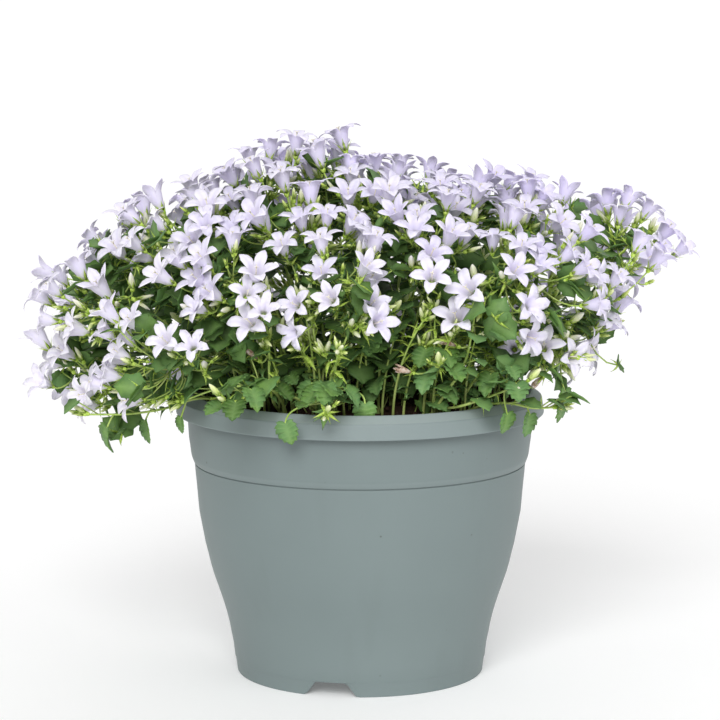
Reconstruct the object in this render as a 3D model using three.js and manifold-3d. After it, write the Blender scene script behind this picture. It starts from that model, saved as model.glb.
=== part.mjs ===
import * as THREE from 'three';
import { mergeVertices } from 'three/addons/utils/BufferGeometryUtils.js';
import Module from 'manifold-3d';

// A potted bellflower, in millimetres, +Z up, with the origin under the middle of the whole.
// A flared plastic pot with a skirted rim holds a plug of soil. Flowering sprays and leafy stems
// stand in holes in the soil and spread into a wide mound of star-shaped bells over the rim.

const wasm = await Module();
wasm.setup();
const { Vector2, Vector3 } = THREE;
const UP = new Vector3(0, 0, 1);

// The plant leans out further on the left, so the pot stands this far right of the middle
const POT_OFFSET = 3;

// Pot
const RIM_RADIUS = 115;
const POT_HEIGHT = 179;
const FOOT_RADIUS = 77;
const FOOT_HEIGHT = 9.3;
const FLOOR_TOP = 12;
const WALL = 2.5;
const SKIRT_BOTTOM = 165.4;
const BAND_BOTTOM = 136.5;
const POT_SIDES = 24;
const BODY_STEPS = 5;
// Its outer line from foot to rim, as [radius, height]: the curved body, the band and the rim's skirt
const BODY_LINE = [[FOOT_RADIUS, 0], [80, 18], [86, 44], [94.2, 70], [99.7, 96], [102.6, 121], [103.6, 133]];
const BAND_LINE = [[105.3, BAND_BOTTOM], [107.6, 162], [107.9, 172], [111.4, 172]];
const SKIRT_LINE = [[RIM_RADIUS - 2, SKIRT_BOTTOM], [RIM_RADIUS, SKIRT_BOTTOM], [113.5, 174.8]];
const RIM_TOP = [[110.8, POT_HEIGHT], [107.3, POT_HEIGHT]];
const INNER_HEIGHTS = [FLOOR_TOP, 44, 70, 98, 133];
const INNER_TOP = new Vector2(105, 160);
const NOTCH = { count: 3, azimuth: -103.5, top: 19.6, bottom: 32, height: 9 };
const DRAIN = { count: 4, radius: 5, ring: 50 };

// Soil
const GAP = 0.35;
const SOIL_EDGE = 171;
const SOIL_CENTRE = 176;
const SOIL_CRUMB = 3;
const HOLE_DEPTH = 13;
// The highest that the crumbly top comes, as [distance from the middle, height]
const SOIL_TOP = [[0, SOIL_CENTRE + 3], [58, SOIL_EDGE + 5], [84, SOIL_EDGE + 2.6], [100, SOIL_EDGE + 0.6]];

// The mound's outline up each of four sides, as [elevation, how far it reaches from its centre]
const MOUND_CENTRE = new Vector3(0, 0, 185);
const OUTLINE = {
  left: [[-90, 150], [-14, 176], [-6, 188], [0, 206], [6, 208], [12, 216], [18, 220], [22, 212], [26, 200],
    [32, 193], [40, 187], [49, 171], [59, 161], [68, 167], [76, 170], [90, 161]],
  right: [[-90, 130], [-8, 148], [0, 153], [8, 160], [12, 168], [16, 187], [21, 203], [25, 223], [28, 231],
    [32, 221], [36, 194], [39, 173], [44, 185], [54, 166], [60, 153], [69, 139], [77, 132], [83, 137],
    [90, 161]],
  front: [[-90, 110], [-5, 125], [8, 139], [20, 152], [35, 161], [50, 159], [70, 156], [90, 161]],
  back: [[-90, 110], [-5, 138], [8, 147], [20, 153], [35, 156], [50, 156], [70, 152], [90, 161]],
};
const LOWEST_BLOOM = { left: -10, right: 1, front: 20, back: 4 };
const GOLDEN_TURN = 137.50776405;

// Flowering sprays
const SPRAY_SPIRAL = 76;
const SPRAY_MARGIN = 5;
const TIP_DEPTH = 33;
const ROOT_RING = 80;
const STEM_RADIUS = 1.75;
const SOCKET_STEP = 4.3;
const STALK_SOCKETS = 6;
const LEAF_SOCKETS = [0.55, 0.8];
const CROWN = 0.85;
const LEAST_LEAN = 0.3;
const HIGH_FIRST = 2;
const SOCKETS_TRIED = 4;

// Blooms and buds
const HEAD_SPIRAL = 900;
const BUD_EVERY = 6;
const BLOOM = { tube: 12, throat: 5.2, tip: 12, tipRise: 2.4, cup: 3, calyx: 1.5, lobes: 5 };
const PULL = 0.12;
// How far blooms turn up to the light: little on the trailing sides, most higher up
const TURN_UP = [[-90, 0.2], [0, 0.25], [20, 0.65], [50, 0.8], [90, 0.8]];
const BUD = { length: 11, radius: 2.2 };

// Leaves
const LEAF = { length: 15.5, petiole: 11, thick: 0.6 };
// Half of a leaf's toothed outline, as shares of its length along and across it
const LEAF_EDGE = [[-0.07, 0.3], [0.22, 0.52], [0.36, 0.36], [0.66, 0.38]];

// Leafy stems: over the rim, low inside, and between. Those over the rim trail lower on the left.
const LEAFY_STEMS = 19;
const LEAFY_KINDS = [
  { out: 118, outSpread: 10, rise: 189, riseSpread: 12, trail: 30, sag: 17, arch: 21 },
  { out: 74, outSpread: 12, rise: 226, riseSpread: 18, trail: 0, sag: 0, arch: -6 },
  { out: 100, outSpread: 10, rise: 206, riseSpread: 14, trail: 0, sag: 0, arch: 15 },
];

const CLEARANCE = 0.5;
const SEEDS = { spray: 11, head: 5, bud: 23, leaf: 31, leafy: 47 };

const COLOURS = { pot: 0x86938f, soil: 0x2b201b, bloom: 0xe2def4, leaf: 0x5f8f3c };

// A stream of draws between 0 and 1 that is the same each time
function seededDraws(seed) {
  let state = seed * 7919 + 17;
  return () => {
    state = (state * 1664525 + 1013904223) % 4294967296;
    return state / 4294967296;
  };
}

const radians = (degrees) => (degrees * Math.PI) / 180;
const along = (a, b, k) => a.clone().addScaledVector(b, k);
const between = (a, b, t) => a.clone().multiplyScalar(1 - t).addScaledVector(b, t);

function directionOf(azimuth, elevation) {
  const level = Math.cos(radians(elevation));
  return new Vector3(
    level * Math.cos(radians(azimuth)),
    level * Math.sin(radians(azimuth)),
    Math.sin(radians(elevation)),
  );
}

const elevationOf = (direction) => (Math.asin(Math.min(1, direction.z)) * 180) / Math.PI;

// A value between the rows of a table of [elevation, value]
function atElevation(table, elevation) {
  const next = table.findIndex((row) => row[0] >= elevation);
  if (next < 1) return table[0][1];
  const [low, high] = [table[next - 1], table[next]];
  return low[1] + ((high[1] - low[1]) * (elevation - low[0])) / (high[0] - low[0]);
}

// How far the mound reaches from its centre in a direction
function moundReach(direction) {
  const elevation = elevationOf(direction);
  const level = direction.x * direction.x + direction.y * direction.y;
  const sideShare = level > 0 ? (direction.x * direction.x) / level : 1;
  const side = atElevation(direction.x < 0 ? OUTLINE.left : OUTLINE.right, elevation);
  const middle = atElevation(direction.y < 0 ? OUTLINE.front : OUTLINE.back, elevation);
  return side * sideShare + middle * (1 - sideShare);
}

const moundPoint = (direction, depth) => along(MOUND_CENTRE, direction, moundReach(direction) - depth);

// The lowest elevation at which the mound blooms, by azimuth
function lowestBloom(azimuth) {
  const c = Math.cos(radians(azimuth));
  const s = Math.sin(radians(azimuth));
  const side = c < 0 ? LOWEST_BLOOM.left : LOWEST_BLOOM.right;
  const middle = s < 0 ? LOWEST_BLOOM.front : LOWEST_BLOOM.back;
  return middle * s * s + side * (1 - s * s);
}

// Directions spread evenly over a sphere, those on the blooming part of the mound kept
function spiralDirections(count, margin) {
  const kept = [];
  for (let k = 0; k < count; k += 1) {
    const elevation = (Math.asin(1 - (2 * k + 1) / count) * 180) / Math.PI;
    const azimuth = k * GOLDEN_TURN;
    if (elevation > lowestBloom(azimuth) + margin) kept.push(directionOf(azimuth, elevation));
  }
  return kept;
}

// Three axes with z along a direction, turned about it by roll
function frameOn(z, roll) {
  let side = UP.clone().cross(z);
  if (side.length() < 0.05) side = new Vector3(1, 0, 0);
  side.normalize();
  const other = z.clone().cross(side);
  const x = side.multiplyScalar(Math.cos(roll)).addScaledVector(other, Math.sin(roll)).normalize();
  return { x, y: z.clone().cross(x), z };
}

function place(origin, frame, x, y, z) {
  return along(along(along(origin, frame.x, x), frame.y, y), frame.z, z);
}

function pushed(direction, draws, amount) {
  const push = new Vector3(draws[0] - 0.5, draws[1] - 0.5, draws[2] - 0.5);
  return along(direction, push, 2 * amount).normalize();
}

const jittered = (direction, draw, amount) => pushed(direction, [draw(), draw(), draw()], amount);

// A stem's line: a quadratic curve from the soil past a bend to its tip
const stemPoint = (stem, t) =>
  between(between(stem.root, stem.bend, t), between(stem.bend, stem.tip, t), t);

// What is placed so far, as small spheres, so that nothing new crosses it. A stem's own spheres
// carry its name, because its stalks start inside them.
const placed = [];
const ball = (at, radius, stem = null) => ({ at, radius, stem });

function crosses(spheres, stem) {
  return spheres.some((a) =>
    placed.some(
      (b) => (!b.stem || b.stem !== stem) && a.at.distanceTo(b.at) < a.radius + b.radius + CLEARANCE,
    ),
  );
}

// A stalk's spheres, from just off its stem
function stalkBalls(from, to) {
  const length = from.distanceTo(to);
  const balls = [];
  for (let far = 0; far < length - 3; far += 3.5) balls.push(ball(between(to, from, far / length), 1.2));
  return balls;
}

function stemBalls(stem) {
  const balls = [];
  for (let k = 1; k <= 30; k += 1) balls.push(ball(stemPoint(stem, k / 30), STEM_RADIUS, stem.name));
  return balls;
}

// Where a stem's rings stand, as shares of its line: long steps, and short ones that hold sockets
function stemStations(stem) {
  let length = 0;
  for (let k = 0; k < 24; k += 1) {
    length += stemPoint(stem, k / 24).distanceTo(stemPoint(stem, (k + 1) / 24));
  }
  const step = SOCKET_STEP / length;
  const stalks = Math.min(STALK_SOCKETS, Math.floor(0.35 / step));
  const crown = 1 - stalks * step;
  const stations = [{ t: 0 }];
  for (const share of LEAF_SOCKETS) {
    const t = share * crown - step;
    stations.push({ t }, { t: t + step, socket: 'leaf' });
  }
  stations.push({ t: crown });
  for (let k = stalks - 1; k >= 0; k -= 1) stations.push({ t: 1 - k * step, socket: 'stalk' });
  return stations;
}

// A stem's mesh: a three-cornered tube in its hole and up its line to its tip. Each side of each
// short step gives a socket: a small triangle of the mesh that a stalk can grow out of.
function growStem(stem) {
  const stations = stemStations(stem);
  const rings = [{ at: along(stem.root, UP, GAP - HOLE_DEPTH), ahead: UP }];
  for (const { t, socket } of stations) {
    const ahead = along(stemPoint(stem, t + 0.01), stemPoint(stem, t - 0.01), -1).normalize();
    rings.push({ at: stemPoint(stem, t), ahead: t ? ahead : UP, t, socket });
  }
  let mark = new Vector3(Math.cos(stem.turn), Math.sin(stem.turn), 0);
  stem.corners = [];
  stem.triangles = [[2, 1, 0]];
  stem.sockets = [];
  rings.forEach(({ at, ahead, t, socket }, index) => {
    mark = along(mark, ahead, -mark.dot(ahead)).normalize();
    const ring = triangleRing(at, { x: mark, y: ahead.clone().cross(mark) }, STEM_RADIUS, 0);
    stem.corners.push(...ring);
    if (!index) return;
    const low = [0, 1, 2].map((k) => 3 * (index - 1) + k);
    const first = stem.triangles.length;
    stem.triangles.push(...bridge(low, low.map((k) => k + 3)));
    if (!socket) return;
    for (const side of [0, 1, 2]) addSocket(stem, first + 2 * side + ((index + side) % 2), socket, t);
  });
  const end = stem.corners.length - 3;
  stem.triangles.push([end, end + 1, end + 2]);
  addSocket(stem, stem.triangles.length - 1, 'stalk', 1);
  grownStems.push(stem);
}

function addSocket(stem, triangle, kind, t) {
  const [a, b, c] = stem.triangles[triangle].map((k) => stem.corners[k]);
  const normal = along(b, a, -1).cross(along(c, a, -1)).normalize();
  const at = a.clone().add(b).add(c).multiplyScalar(1 / 3);
  stem.sockets.push({ triangle, kind, t, at, normal, used: false });
}

// The free sockets of a kind that face a point best, high ones first
function freeSockets(stem, kind, point) {
  const scored = [];
  for (const socket of stem.sockets) {
    const lean = along(point, socket.at, -1).normalize().dot(socket.normal);
    if (!socket.used && socket.kind === kind && lean > LEAST_LEAN) {
      scored.push({ socket, score: lean + HIGH_FIRST * socket.t });
    }
  }
  scored.sort((a, b) => b.score - a.score);
  return scored.slice(0, SOCKETS_TRIED).map((row) => row.socket);
}

// Whether the line from p to q passes through a triangle
function pierces(p, q, [a, b, c]) {
  const ray = new THREE.Ray(p, along(q, p, -1).normalize());
  const hit = ray.intersectTriangle(a, b, c, false, new Vector3());
  return hit !== null && hit.distanceTo(p) < p.distanceTo(q);
}

// Whether two triangles cross, apart from where they meet at a shared corner or edge
function trianglesCross(first, second) {
  const shared = first.filter((corner) => second.includes(corner));
  if (shared.length > 1) return false;
  const edgesCut = (from, to) =>
    [0, 1, 2].some((k) => {
      const [p, q] = [from[k], from[(k + 1) % 3]];
      return !shared.includes(p) && !shared.includes(q) && pierces(p, q, to);
    });
  return edgesCut(first, second) || edgesCut(second, first);
}

// A triangle of a stem as its three points, and the box around them, each worked out once
const facets = new WeakMap();
function facetOf(stem, triangle) {
  if (!facets.has(triangle)) {
    const points = triangle.map((k) => stem.corners[k]);
    facets.set(triangle, { points, box: new THREE.Box3().setFromPoints(points) });
  }
  return facets.get(triangle);
}

// Whether any of some facets crosses a stem
function facetsCross(fresh, stem) {
  const box = fresh.reduce((sum, facet) => sum.union(facet.box), new THREE.Box3());
  return stem.triangles.some((triangle) => {
    const old = facetOf(stem, triangle);
    if (!box.intersectsBox(old.box)) return false;
    return fresh.some(
      (facet) => facet.box.intersectsBox(old.box) && trianglesCross(facet.points, old.points),
    );
  });
}

// Grows a head or leaf on its stem, and takes it off again where it would cross that stem or another
const grownStems = [];
function grownClear(stem, piece, grow) {
  const [corners, triangles] = [stem.corners.length, stem.triangles.length];
  const base = stem.triangles[piece.socket.triangle];
  grow(stem, piece);
  const changed = [stem.triangles[piece.socket.triangle], ...stem.triangles.slice(triangles)];
  const fresh = changed.map((triangle) => facetOf(stem, triangle));
  if (!grownStems.some((other) => facetsCross(fresh, other))) return true;
  stem.corners.length = corners;
  stem.triangles.length = triangles;
  stem.triangles[piece.socket.triangle] = base;
  return false;
}

// Adds a head or leaf to a stem where it crosses nothing that is placed so far
function added(stem, piece, grow) {
  if (crosses(piece.spheres, stem.name) || !grownClear(stem, piece, grow)) return false;
  placed.push(...piece.spheres);
  piece.socket.used = true;
  return true;
}

// A three-cornered ring around a point
function triangleRing(at, frame, radius, shift) {
  return [0, 1, 2].map((k) => {
    const turn = (2 * Math.PI * (k + shift)) / 3;
    return along(along(at, frame.x, radius * Math.cos(turn)), frame.y, radius * Math.sin(turn));
  });
}

// Triangles between two rings with the same number of corners
function bridge(low, high) {
  return low.flatMap((a, k) => {
    const next = (k + 1) % low.length;
    return [
      [a, low[next], high[next]],
      [a, high[next], high[k]],
    ];
  });
}

// Where a stem leaves the soil, just above its top
function rootAt(azimuth, out) {
  const height = atElevation(SOIL_TOP, out) + 1.2;
  return along(new Vector3(0, 0, height), directionOf(azimuth, 0), out);
}

// The stems of the flowering sprays: low ones root near the rim, and those of the top in the middle
function layOutSprays() {
  const draw = seededDraws(SEEDS.spray);
  return spiralDirections(SPRAY_SPIRAL, SPRAY_MARGIN).map((even, index) => {
    const direction = jittered(even, draw, 0.05);
    const tip = moundPoint(direction, TIP_DEPTH);
    const out = ROOT_RING * Math.sqrt(Math.min(1, (1 - direction.z) / 1.05));
    const root = rootAt((Math.atan2(direction.y, direction.x) * 180) / Math.PI, out);
    const low = Math.max(0, 1 - (tip.z - SOIL_CENTRE) / 60);
    const bend = between(root, tip, 0.42);
    bend.z = Math.max(bend.z, root.z + 12) + 16 + 26 * low;
    const name = 'spray_' + String(index + 1).padStart(2, '0');
    const spray = { name, direction, tip, root, bend, turn: index };
    growStem(spray);
    placed.push(...stemBalls(spray));
    return spray;
  });
}

// A bloom's throat, axis and the base of its tube, with the spheres that stand for it
function bloomAt(socket, throat, axis, roll, size) {
  const frame = frameOn(axis, roll);
  const calyx = along(throat, axis, -BLOOM.tube * size);
  const spheres = [ball(throat, 4.6 * size), ball(along(throat, axis, -6.5 * size), 3 * size)];
  for (let k = 0; k < BLOOM.lobes; k += 1) {
    const turn = (2 * Math.PI * (k + 0.5)) / BLOOM.lobes;
    const [c, s] = [size * Math.cos(turn), size * Math.sin(turn)];
    spheres.push(ball(place(throat, frame, 7.3 * c, 7.3 * s, 1.1 * size), 2.2 * size));
    spheres.push(ball(place(throat, frame, 10.8 * c, 10.8 * s, 2.1 * size), 1.1));
  }
  spheres.push(...stalkBalls(socket.at, calyx));
  return { socket, throat, axis, frame, calyx, size, spheres };
}

function nearestSpray(sprays, direction) {
  return sprays.reduce((best, spray) =>
    spray.direction.dot(direction) > best.direction.dot(direction) ? spray : best,
  );
}

// Blooms, and a bud in every few, cover the mound in two layers
function layOutHeads(sprays) {
  const draw = seededDraws(SEEDS.head);
  spiralDirections(HEAD_SPIRAL, 0).forEach((even, index) => {
    const loose = jittered(even, draw, 0.035);
    const spray = nearestSpray(sprays, loose);
    const isBud = index % BUD_EVERY === BUD_EVERY - 1;
    for (let attempt = 0; attempt < 9; attempt += 1) {
      const direction = between(loose, spray.direction, PULL + 0.04 * attempt).normalize();
      const throat = moundPoint(direction, 6 + 10 * (index % 2) + 2.5 * attempt + 4 * draw());
      const [lift, roll, size] = [[draw(), draw(), draw()], draw() * 2 * Math.PI, 0.88 + 0.22 * draw()];
      for (const socket of freeSockets(spray, 'stalk', throat)) {
        const away = along(throat, socket.at, -1).normalize();
        const turnUp = atElevation(TURN_UP, elevationOf(direction));
        const axis = pushed(along(along(away, direction, 0.5), UP, turnUp).normalize(), lift, 0.22);
        const head = isBud ? budAt(socket, throat, axis) : bloomAt(socket, throat, axis, roll, size);
        if (added(spray, head, isBud ? growBud : growBloom)) return;
      }
    }
  });
}

function budAt(socket, tip, axis) {
  const base = along(tip, axis, -BUD.length);
  const spheres = [
    ball(along(base, axis, 4), BUD.radius),
    ball(along(base, axis, 8), BUD.radius),
    ball(tip, 1),
    ...stalkBalls(socket.at, base),
  ];
  return { socket, base, tip, axis, spheres };
}

// One more bud where it fits, at the end of each leafy stem
function layOutTipBuds(stems) {
  const draw = seededDraws(SEEDS.bud);
  for (const stem of stems) {
    for (let attempt = 0; attempt < 8; attempt += 1) {
      const away = jittered(stem.direction, draw, 0.5);
      const tip = along(stem.tip, away, 22 + 8 * draw());
      const axis = along(away, UP, 0.3).normalize();
      const sockets = freeSockets(stem, 'stalk', tip);
      if (sockets.some((socket) => added(stem, budAt(socket, tip, axis), growBud))) break;
    }
  }
}

// A leaf on its stalk out of a socket. Heading is level, and droop tips the blade down.
function leafAt(socket, heading, droop, size) {
  const out = new Vector3(Math.cos(heading), Math.sin(heading), 0);
  const stalk = along(along(out, socket.normal, 0.6), UP, 0.75).normalize();
  const joint = along(socket.at, stalk, LEAF.petiole * size);
  const axis = along(out, UP, -droop).normalize();
  const y = UP.clone().cross(axis).normalize();
  const frame = { x: axis, y, z: axis.clone().cross(y) };
  const length = LEAF.length * size;
  const spheres = [
    ball(place(joint, frame, 0.3 * length, 0, 0), 4.2 * size),
    ball(place(joint, frame, 0.65 * length, 0, 0), 4 * size),
    ball(place(joint, frame, 0.95 * length, 0, 0), 1.2),
    ball(place(joint, frame, 0.25 * length, 0.34 * length, 0), 2.6 * size),
    ball(place(joint, frame, 0.25 * length, -0.34 * length, 0), 2.6 * size),
    ...stalkBalls(socket.at, joint),
  ];
  return { socket, joint, frame, length, spheres };
}

const inPot = ({ at }) => Math.hypot(at.x, at.y) < RIM_RADIUS + 6 && at.z < POT_HEIGHT + 4;

function placeLeaf(stem, kind, draw, droopFrom, size) {
  const outward = Math.atan2(stem.tip.y, stem.tip.x);
  for (let attempt = 0; attempt < 9; attempt += 1) {
    const heading = outward + (draw() - 0.5) * 4.2;
    const droop = droopFrom + 0.5 * draw();
    const target = along(stem.tip, directionOf((heading * 180) / Math.PI, 0), 60);
    for (const socket of freeSockets(stem, kind, target)) {
      const leaf = leafAt(socket, heading, droop, size);
      if (!leaf.spheres.some(inPot) && added(stem, leaf, growLeaf)) return;
    }
  }
}

// Short stems with leaves and a few buds fill the mound's foot and lean over the rim
function layOutLeafyStems() {
  const draw = seededDraws(SEEDS.leafy);
  const stems = [];
  for (let index = 0; index < LEAFY_STEMS; index += 1) {
    const kind = LEAFY_KINDS[index % LEAFY_KINDS.length];
    const azimuth = (360 * (index + 0.35 * (draw() - 0.5))) / LEAFY_STEMS - 100;
    const level = directionOf(azimuth, 0);
    const left = Math.max(0, -level.x);
    const out = kind.out + kind.outSpread * draw() + kind.trail * left;
    const rise = kind.rise + kind.riseSpread * draw() - kind.sag * left;
    const root = rootAt(azimuth, Math.min(92, 0.88 * kind.out) - 6 * draw());
    const tip = along(new Vector3(0, 0, rise), level, out);
    const bend = between(root, tip, 0.4);
    bend.z = Math.max(root.z, tip.z) + kind.arch;
    const name = 'leafy_stem_' + String(stems.length + 1).padStart(2, '0');
    const direction = along(level, UP, 0.6).normalize();
    const stem = { name, direction, tip, root, bend, turn: index };
    const balls = stemBalls(stem);
    if (crosses(balls, name)) continue;
    growStem(stem);
    placed.push(...balls);
    stems.push(stem);
  }
  return stems;
}

// Closed meshes to solids and back
function solidOf(geometry) {
  const bare = geometry.index ? geometry.toNonIndexed() : geometry.clone();
  bare.deleteAttribute('normal');
  bare.deleteAttribute('uv');
  const merged = mergeVertices(bare, 1e-4);
  return new wasm.Manifold(
    new wasm.Mesh({
      numProp: 3,
      vertProperties: new Float32Array(merged.attributes.position.array),
      triVerts: new Uint32Array(merged.index.array),
    }),
  );
}

function meshOf(name, solid, colour, roughness) {
  const mesh = solid.translate([POT_OFFSET, 0, 0]).getMesh();
  const geometry = new THREE.BufferGeometry()
    .setAttribute('position', new THREE.BufferAttribute(new Float32Array(mesh.vertProperties), 3))
    .setIndex(new THREE.BufferAttribute(new Uint32Array(mesh.triVerts), 1));
  geometry.computeVertexNormals();
  const material = new THREE.MeshStandardMaterial({ color: colour, roughness, metalness: 0 });
  const made = new THREE.Mesh(geometry, material);
  made.name = name;
  return made;
}

// A solid from named corners and triangles of their numbers
function solidFrom(corners, triangles) {
  const geometry = new THREE.BufferGeometry()
    .setAttribute('position', new THREE.Float32BufferAttribute(corners.flatMap((c) => c.toArray()), 3))
    .setIndex(triangles.flat());
  return solidOf(geometry);
}

const profilePoints = (rows) => rows.map(([radius, height]) => new Vector2(radius, height));
const bodyLine = new THREE.SplineCurve(profilePoints(BODY_LINE));

// The radius inside the pot's wall at a height
function innerRadius(height) {
  const points = bodyLine.getPoints(60);
  const next = points.findIndex((p) => p.y >= height);
  if (next < 1) return INNER_TOP.x - WALL;
  const [a, b] = [points[next - 1], points[next]];
  return a.x + ((b.x - a.x) * (height - a.y)) / (b.y - a.y) - WALL;
}

function makePot() {
  const outer = bodyLine.getPoints(BODY_STEPS);
  const inner = INNER_HEIGHTS.map((z) => new Vector2(innerRadius(z), z));
  const profile = [
    new Vector2(0, FOOT_HEIGHT),
    new Vector2(FOOT_RADIUS - WALL, FOOT_HEIGHT),
    new Vector2(FOOT_RADIUS - WALL, 0),
    ...outer,
    ...profilePoints([...BAND_LINE, ...SKIRT_LINE, ...RIM_TOP]),
    INNER_TOP,
    ...inner.reverse(),
    new Vector2(0, FLOOR_TOP),
  ];
  let pot = solidOf(upright(new THREE.LatheGeometry(profile, POT_SIDES)));
  for (let k = 0; k < NOTCH.count; k += 1) {
    pot = pot.subtract(makeNotch(NOTCH.azimuth + (360 * k) / NOTCH.count));
  }
  for (let k = 0; k < DRAIN.count; k += 1) {
    pot = pot.subtract(makeDrain((360 * (k + 0.5)) / DRAIN.count));
  }
  return meshOf('pot', pot, COLOURS.pot, 0.6);
}

// Lathes turn about Y: this stands them on Z
function upright(geometry) {
  return geometry.rotateX(Math.PI / 2);
}

// The drain notch in the foot: a wide trapezoid through the foot ring
function makeNotch(azimuth) {
  const shape = new THREE.Shape([
    new Vector2(-NOTCH.bottom / 2 - 1, -1.2),
    new Vector2(NOTCH.bottom / 2 + 1, -1.2),
    new Vector2(NOTCH.top / 2, NOTCH.height),
    new Vector2(-NOTCH.top / 2, NOTCH.height),
  ]);
  const block = new THREE.ExtrudeGeometry(shape, { depth: 30, bevelEnabled: false });
  block.rotateX(Math.PI / 2).translate(0, FOOT_RADIUS + 12, 0);
  block.rotateZ(radians(azimuth - 90));
  return solidOf(block);
}

function makeDrain(azimuth) {
  const drill = upright(new THREE.CylinderGeometry(DRAIN.radius, DRAIN.radius, 8, 6));
  drill.translate(DRAIN.ring, 0, (FOOT_HEIGHT + FLOOR_TOP) / 2).rotateZ(radians(azimuth));
  return solidOf(drill);
}

// The soil fills the pot, crumbly on top, with a three-cornered hole for each stem
function makeSoil(stems) {
  const side = INNER_HEIGHTS.map((z) => new Vector2(innerRadius(z) - GAP, z));
  side[0].y += GAP;
  const top = [
    new Vector2(INNER_TOP.x - GAP, INNER_TOP.y),
    new Vector2(INNER_TOP.x - GAP, SOIL_EDGE),
    new Vector2(84, SOIL_EDGE + 2.2),
    new Vector2(58, SOIL_EDGE + 3.6),
    new Vector2(30, SOIL_CENTRE - 0.6),
    new Vector2(0, SOIL_CENTRE),
  ];
  const profile = [new Vector2(0, FLOOR_TOP + GAP), ...side, ...top];
  const plug = upright(new THREE.LatheGeometry(profile, POT_SIDES));
  const at = plug.getAttribute('position');
  for (let k = 0; k < at.count; k += 1) {
    const [x, y, z] = [at.getX(k), at.getY(k), at.getZ(k)];
    const middle = Math.max(0, 1 - Math.hypot(x, y) / 98);
    if (z > SOIL_EDGE) at.setZ(k, z + SOIL_CRUMB * middle * Math.sin(x / 9 + 1) * Math.cos(y / 8));
  }
  let soil = solidOf(plug);
  for (const stem of stems) soil = soil.subtract(stemPrism(stem, STEM_RADIUS + 2 * GAP, -HOLE_DEPTH, 12));
  return meshOf('soil', soil, COLOURS.soil, 1);
}

// An upright three-cornered prism on a stem's root
function stemPrism(stem, radius, low, high) {
  const ring = (dz) =>
    [0, 1, 2].map((k) => {
      const turn = stem.turn + (2 * Math.PI * k) / 3;
      return stem.root.clone().add(new Vector3(radius * Math.cos(turn), radius * Math.sin(turn), dz));
    });
  const triangles = [[2, 1, 0], [3, 4, 5], ...bridge([0, 1, 2], [3, 4, 5])];
  return solidFrom([...ring(low), ...ring(high)], triangles);
}

// A tube from a socket to a ring of three new corners, which it returns
function growStalk(stem, socket, ring) {
  const base = stem.triangles[socket.triangle];
  const first = stem.corners.length;
  stem.corners.push(...ring);
  const top = nearestTurn(base.map((k) => stem.corners[k]), ring).map((k) => first + k);
  const [start, ...rest] = bridge(base, top);
  stem.triangles[socket.triangle] = start;
  stem.triangles.push(...rest);
  return [first, first + 1, first + 2];
}

// The order of the upper ring's corners that twists least against the lower ring
function nearestTurn(lower, upper) {
  const twist = (shift) => lower.reduce((sum, c, k) => sum + c.distanceTo(upper[(k + shift) % 3]), 0);
  const shift = [0, 1, 2].reduce((best, k) => (twist(k) < twist(best) ? k : best));
  return [0, 1, 2].map((k) => (k + shift) % 3);
}

// A bloom: a five-sided bell from a three-cornered calyx, opening into five lobes
function growBloom(stem, bloom) {
  const { socket, frame, calyx, throat, size } = bloom;
  const [c0, c1, c2] = growStalk(stem, socket, triangleRing(calyx, frame, BLOOM.calyx, 0.25));
  const first = stem.corners.length;
  const [wide, tip] = [BLOOM.throat * size, BLOOM.tip * size];
  for (let k = 0; k < BLOOM.lobes; k += 1) {
    const turn = (2 * Math.PI * k) / BLOOM.lobes;
    stem.corners.push(place(throat, frame, wide * Math.cos(turn), wide * Math.sin(turn), -1.4));
  }
  for (let k = 0; k < BLOOM.lobes; k += 1) {
    const turn = (2 * Math.PI * (k + 0.5)) / BLOOM.lobes;
    stem.corners.push(place(throat, frame, tip * Math.cos(turn), tip * Math.sin(turn), BLOOM.tipRise));
  }
  const cup = stem.corners.length;
  stem.corners.push(place(throat, frame, 0, 0, -BLOOM.cup));
  const [v0, v1, v2, v3, v4] = [0, 1, 2, 3, 4].map((k) => first + k);
  stem.triangles.push([c0, c1, v1], [c1, v2, v1], [c1, c2, v3], [c1, v3, v2]);
  stem.triangles.push([c2, v4, v3], [c2, c0, v4], [c0, v0, v4], [c0, v1, v0]);
  for (let k = 0; k < BLOOM.lobes; k += 1) {
    const [valley, next, point] = [first + k, first + ((k + 1) % 5), first + 5 + k];
    stem.triangles.push([valley, next, point], [cup, valley, point], [cup, point, next]);
  }
}

function growBud(stem, bud) {
  const frame = frameOn(bud.axis, 0);
  const heel = growStalk(stem, bud.socket, triangleRing(bud.base, frame, 1.1, 0));
  const middle = along(bud.base, bud.axis, 0.5 * BUD.length);
  const first = stem.corners.length;
  stem.corners.push(...triangleRing(middle, frame, BUD.radius, 0), bud.tip);
  const belly = [first, first + 1, first + 2];
  stem.triangles.push(...bridge(heel, belly));
  for (const k of [0, 1, 2]) stem.triangles.push([belly[k], belly[(k + 1) % 3], first + 3]);
}

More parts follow.
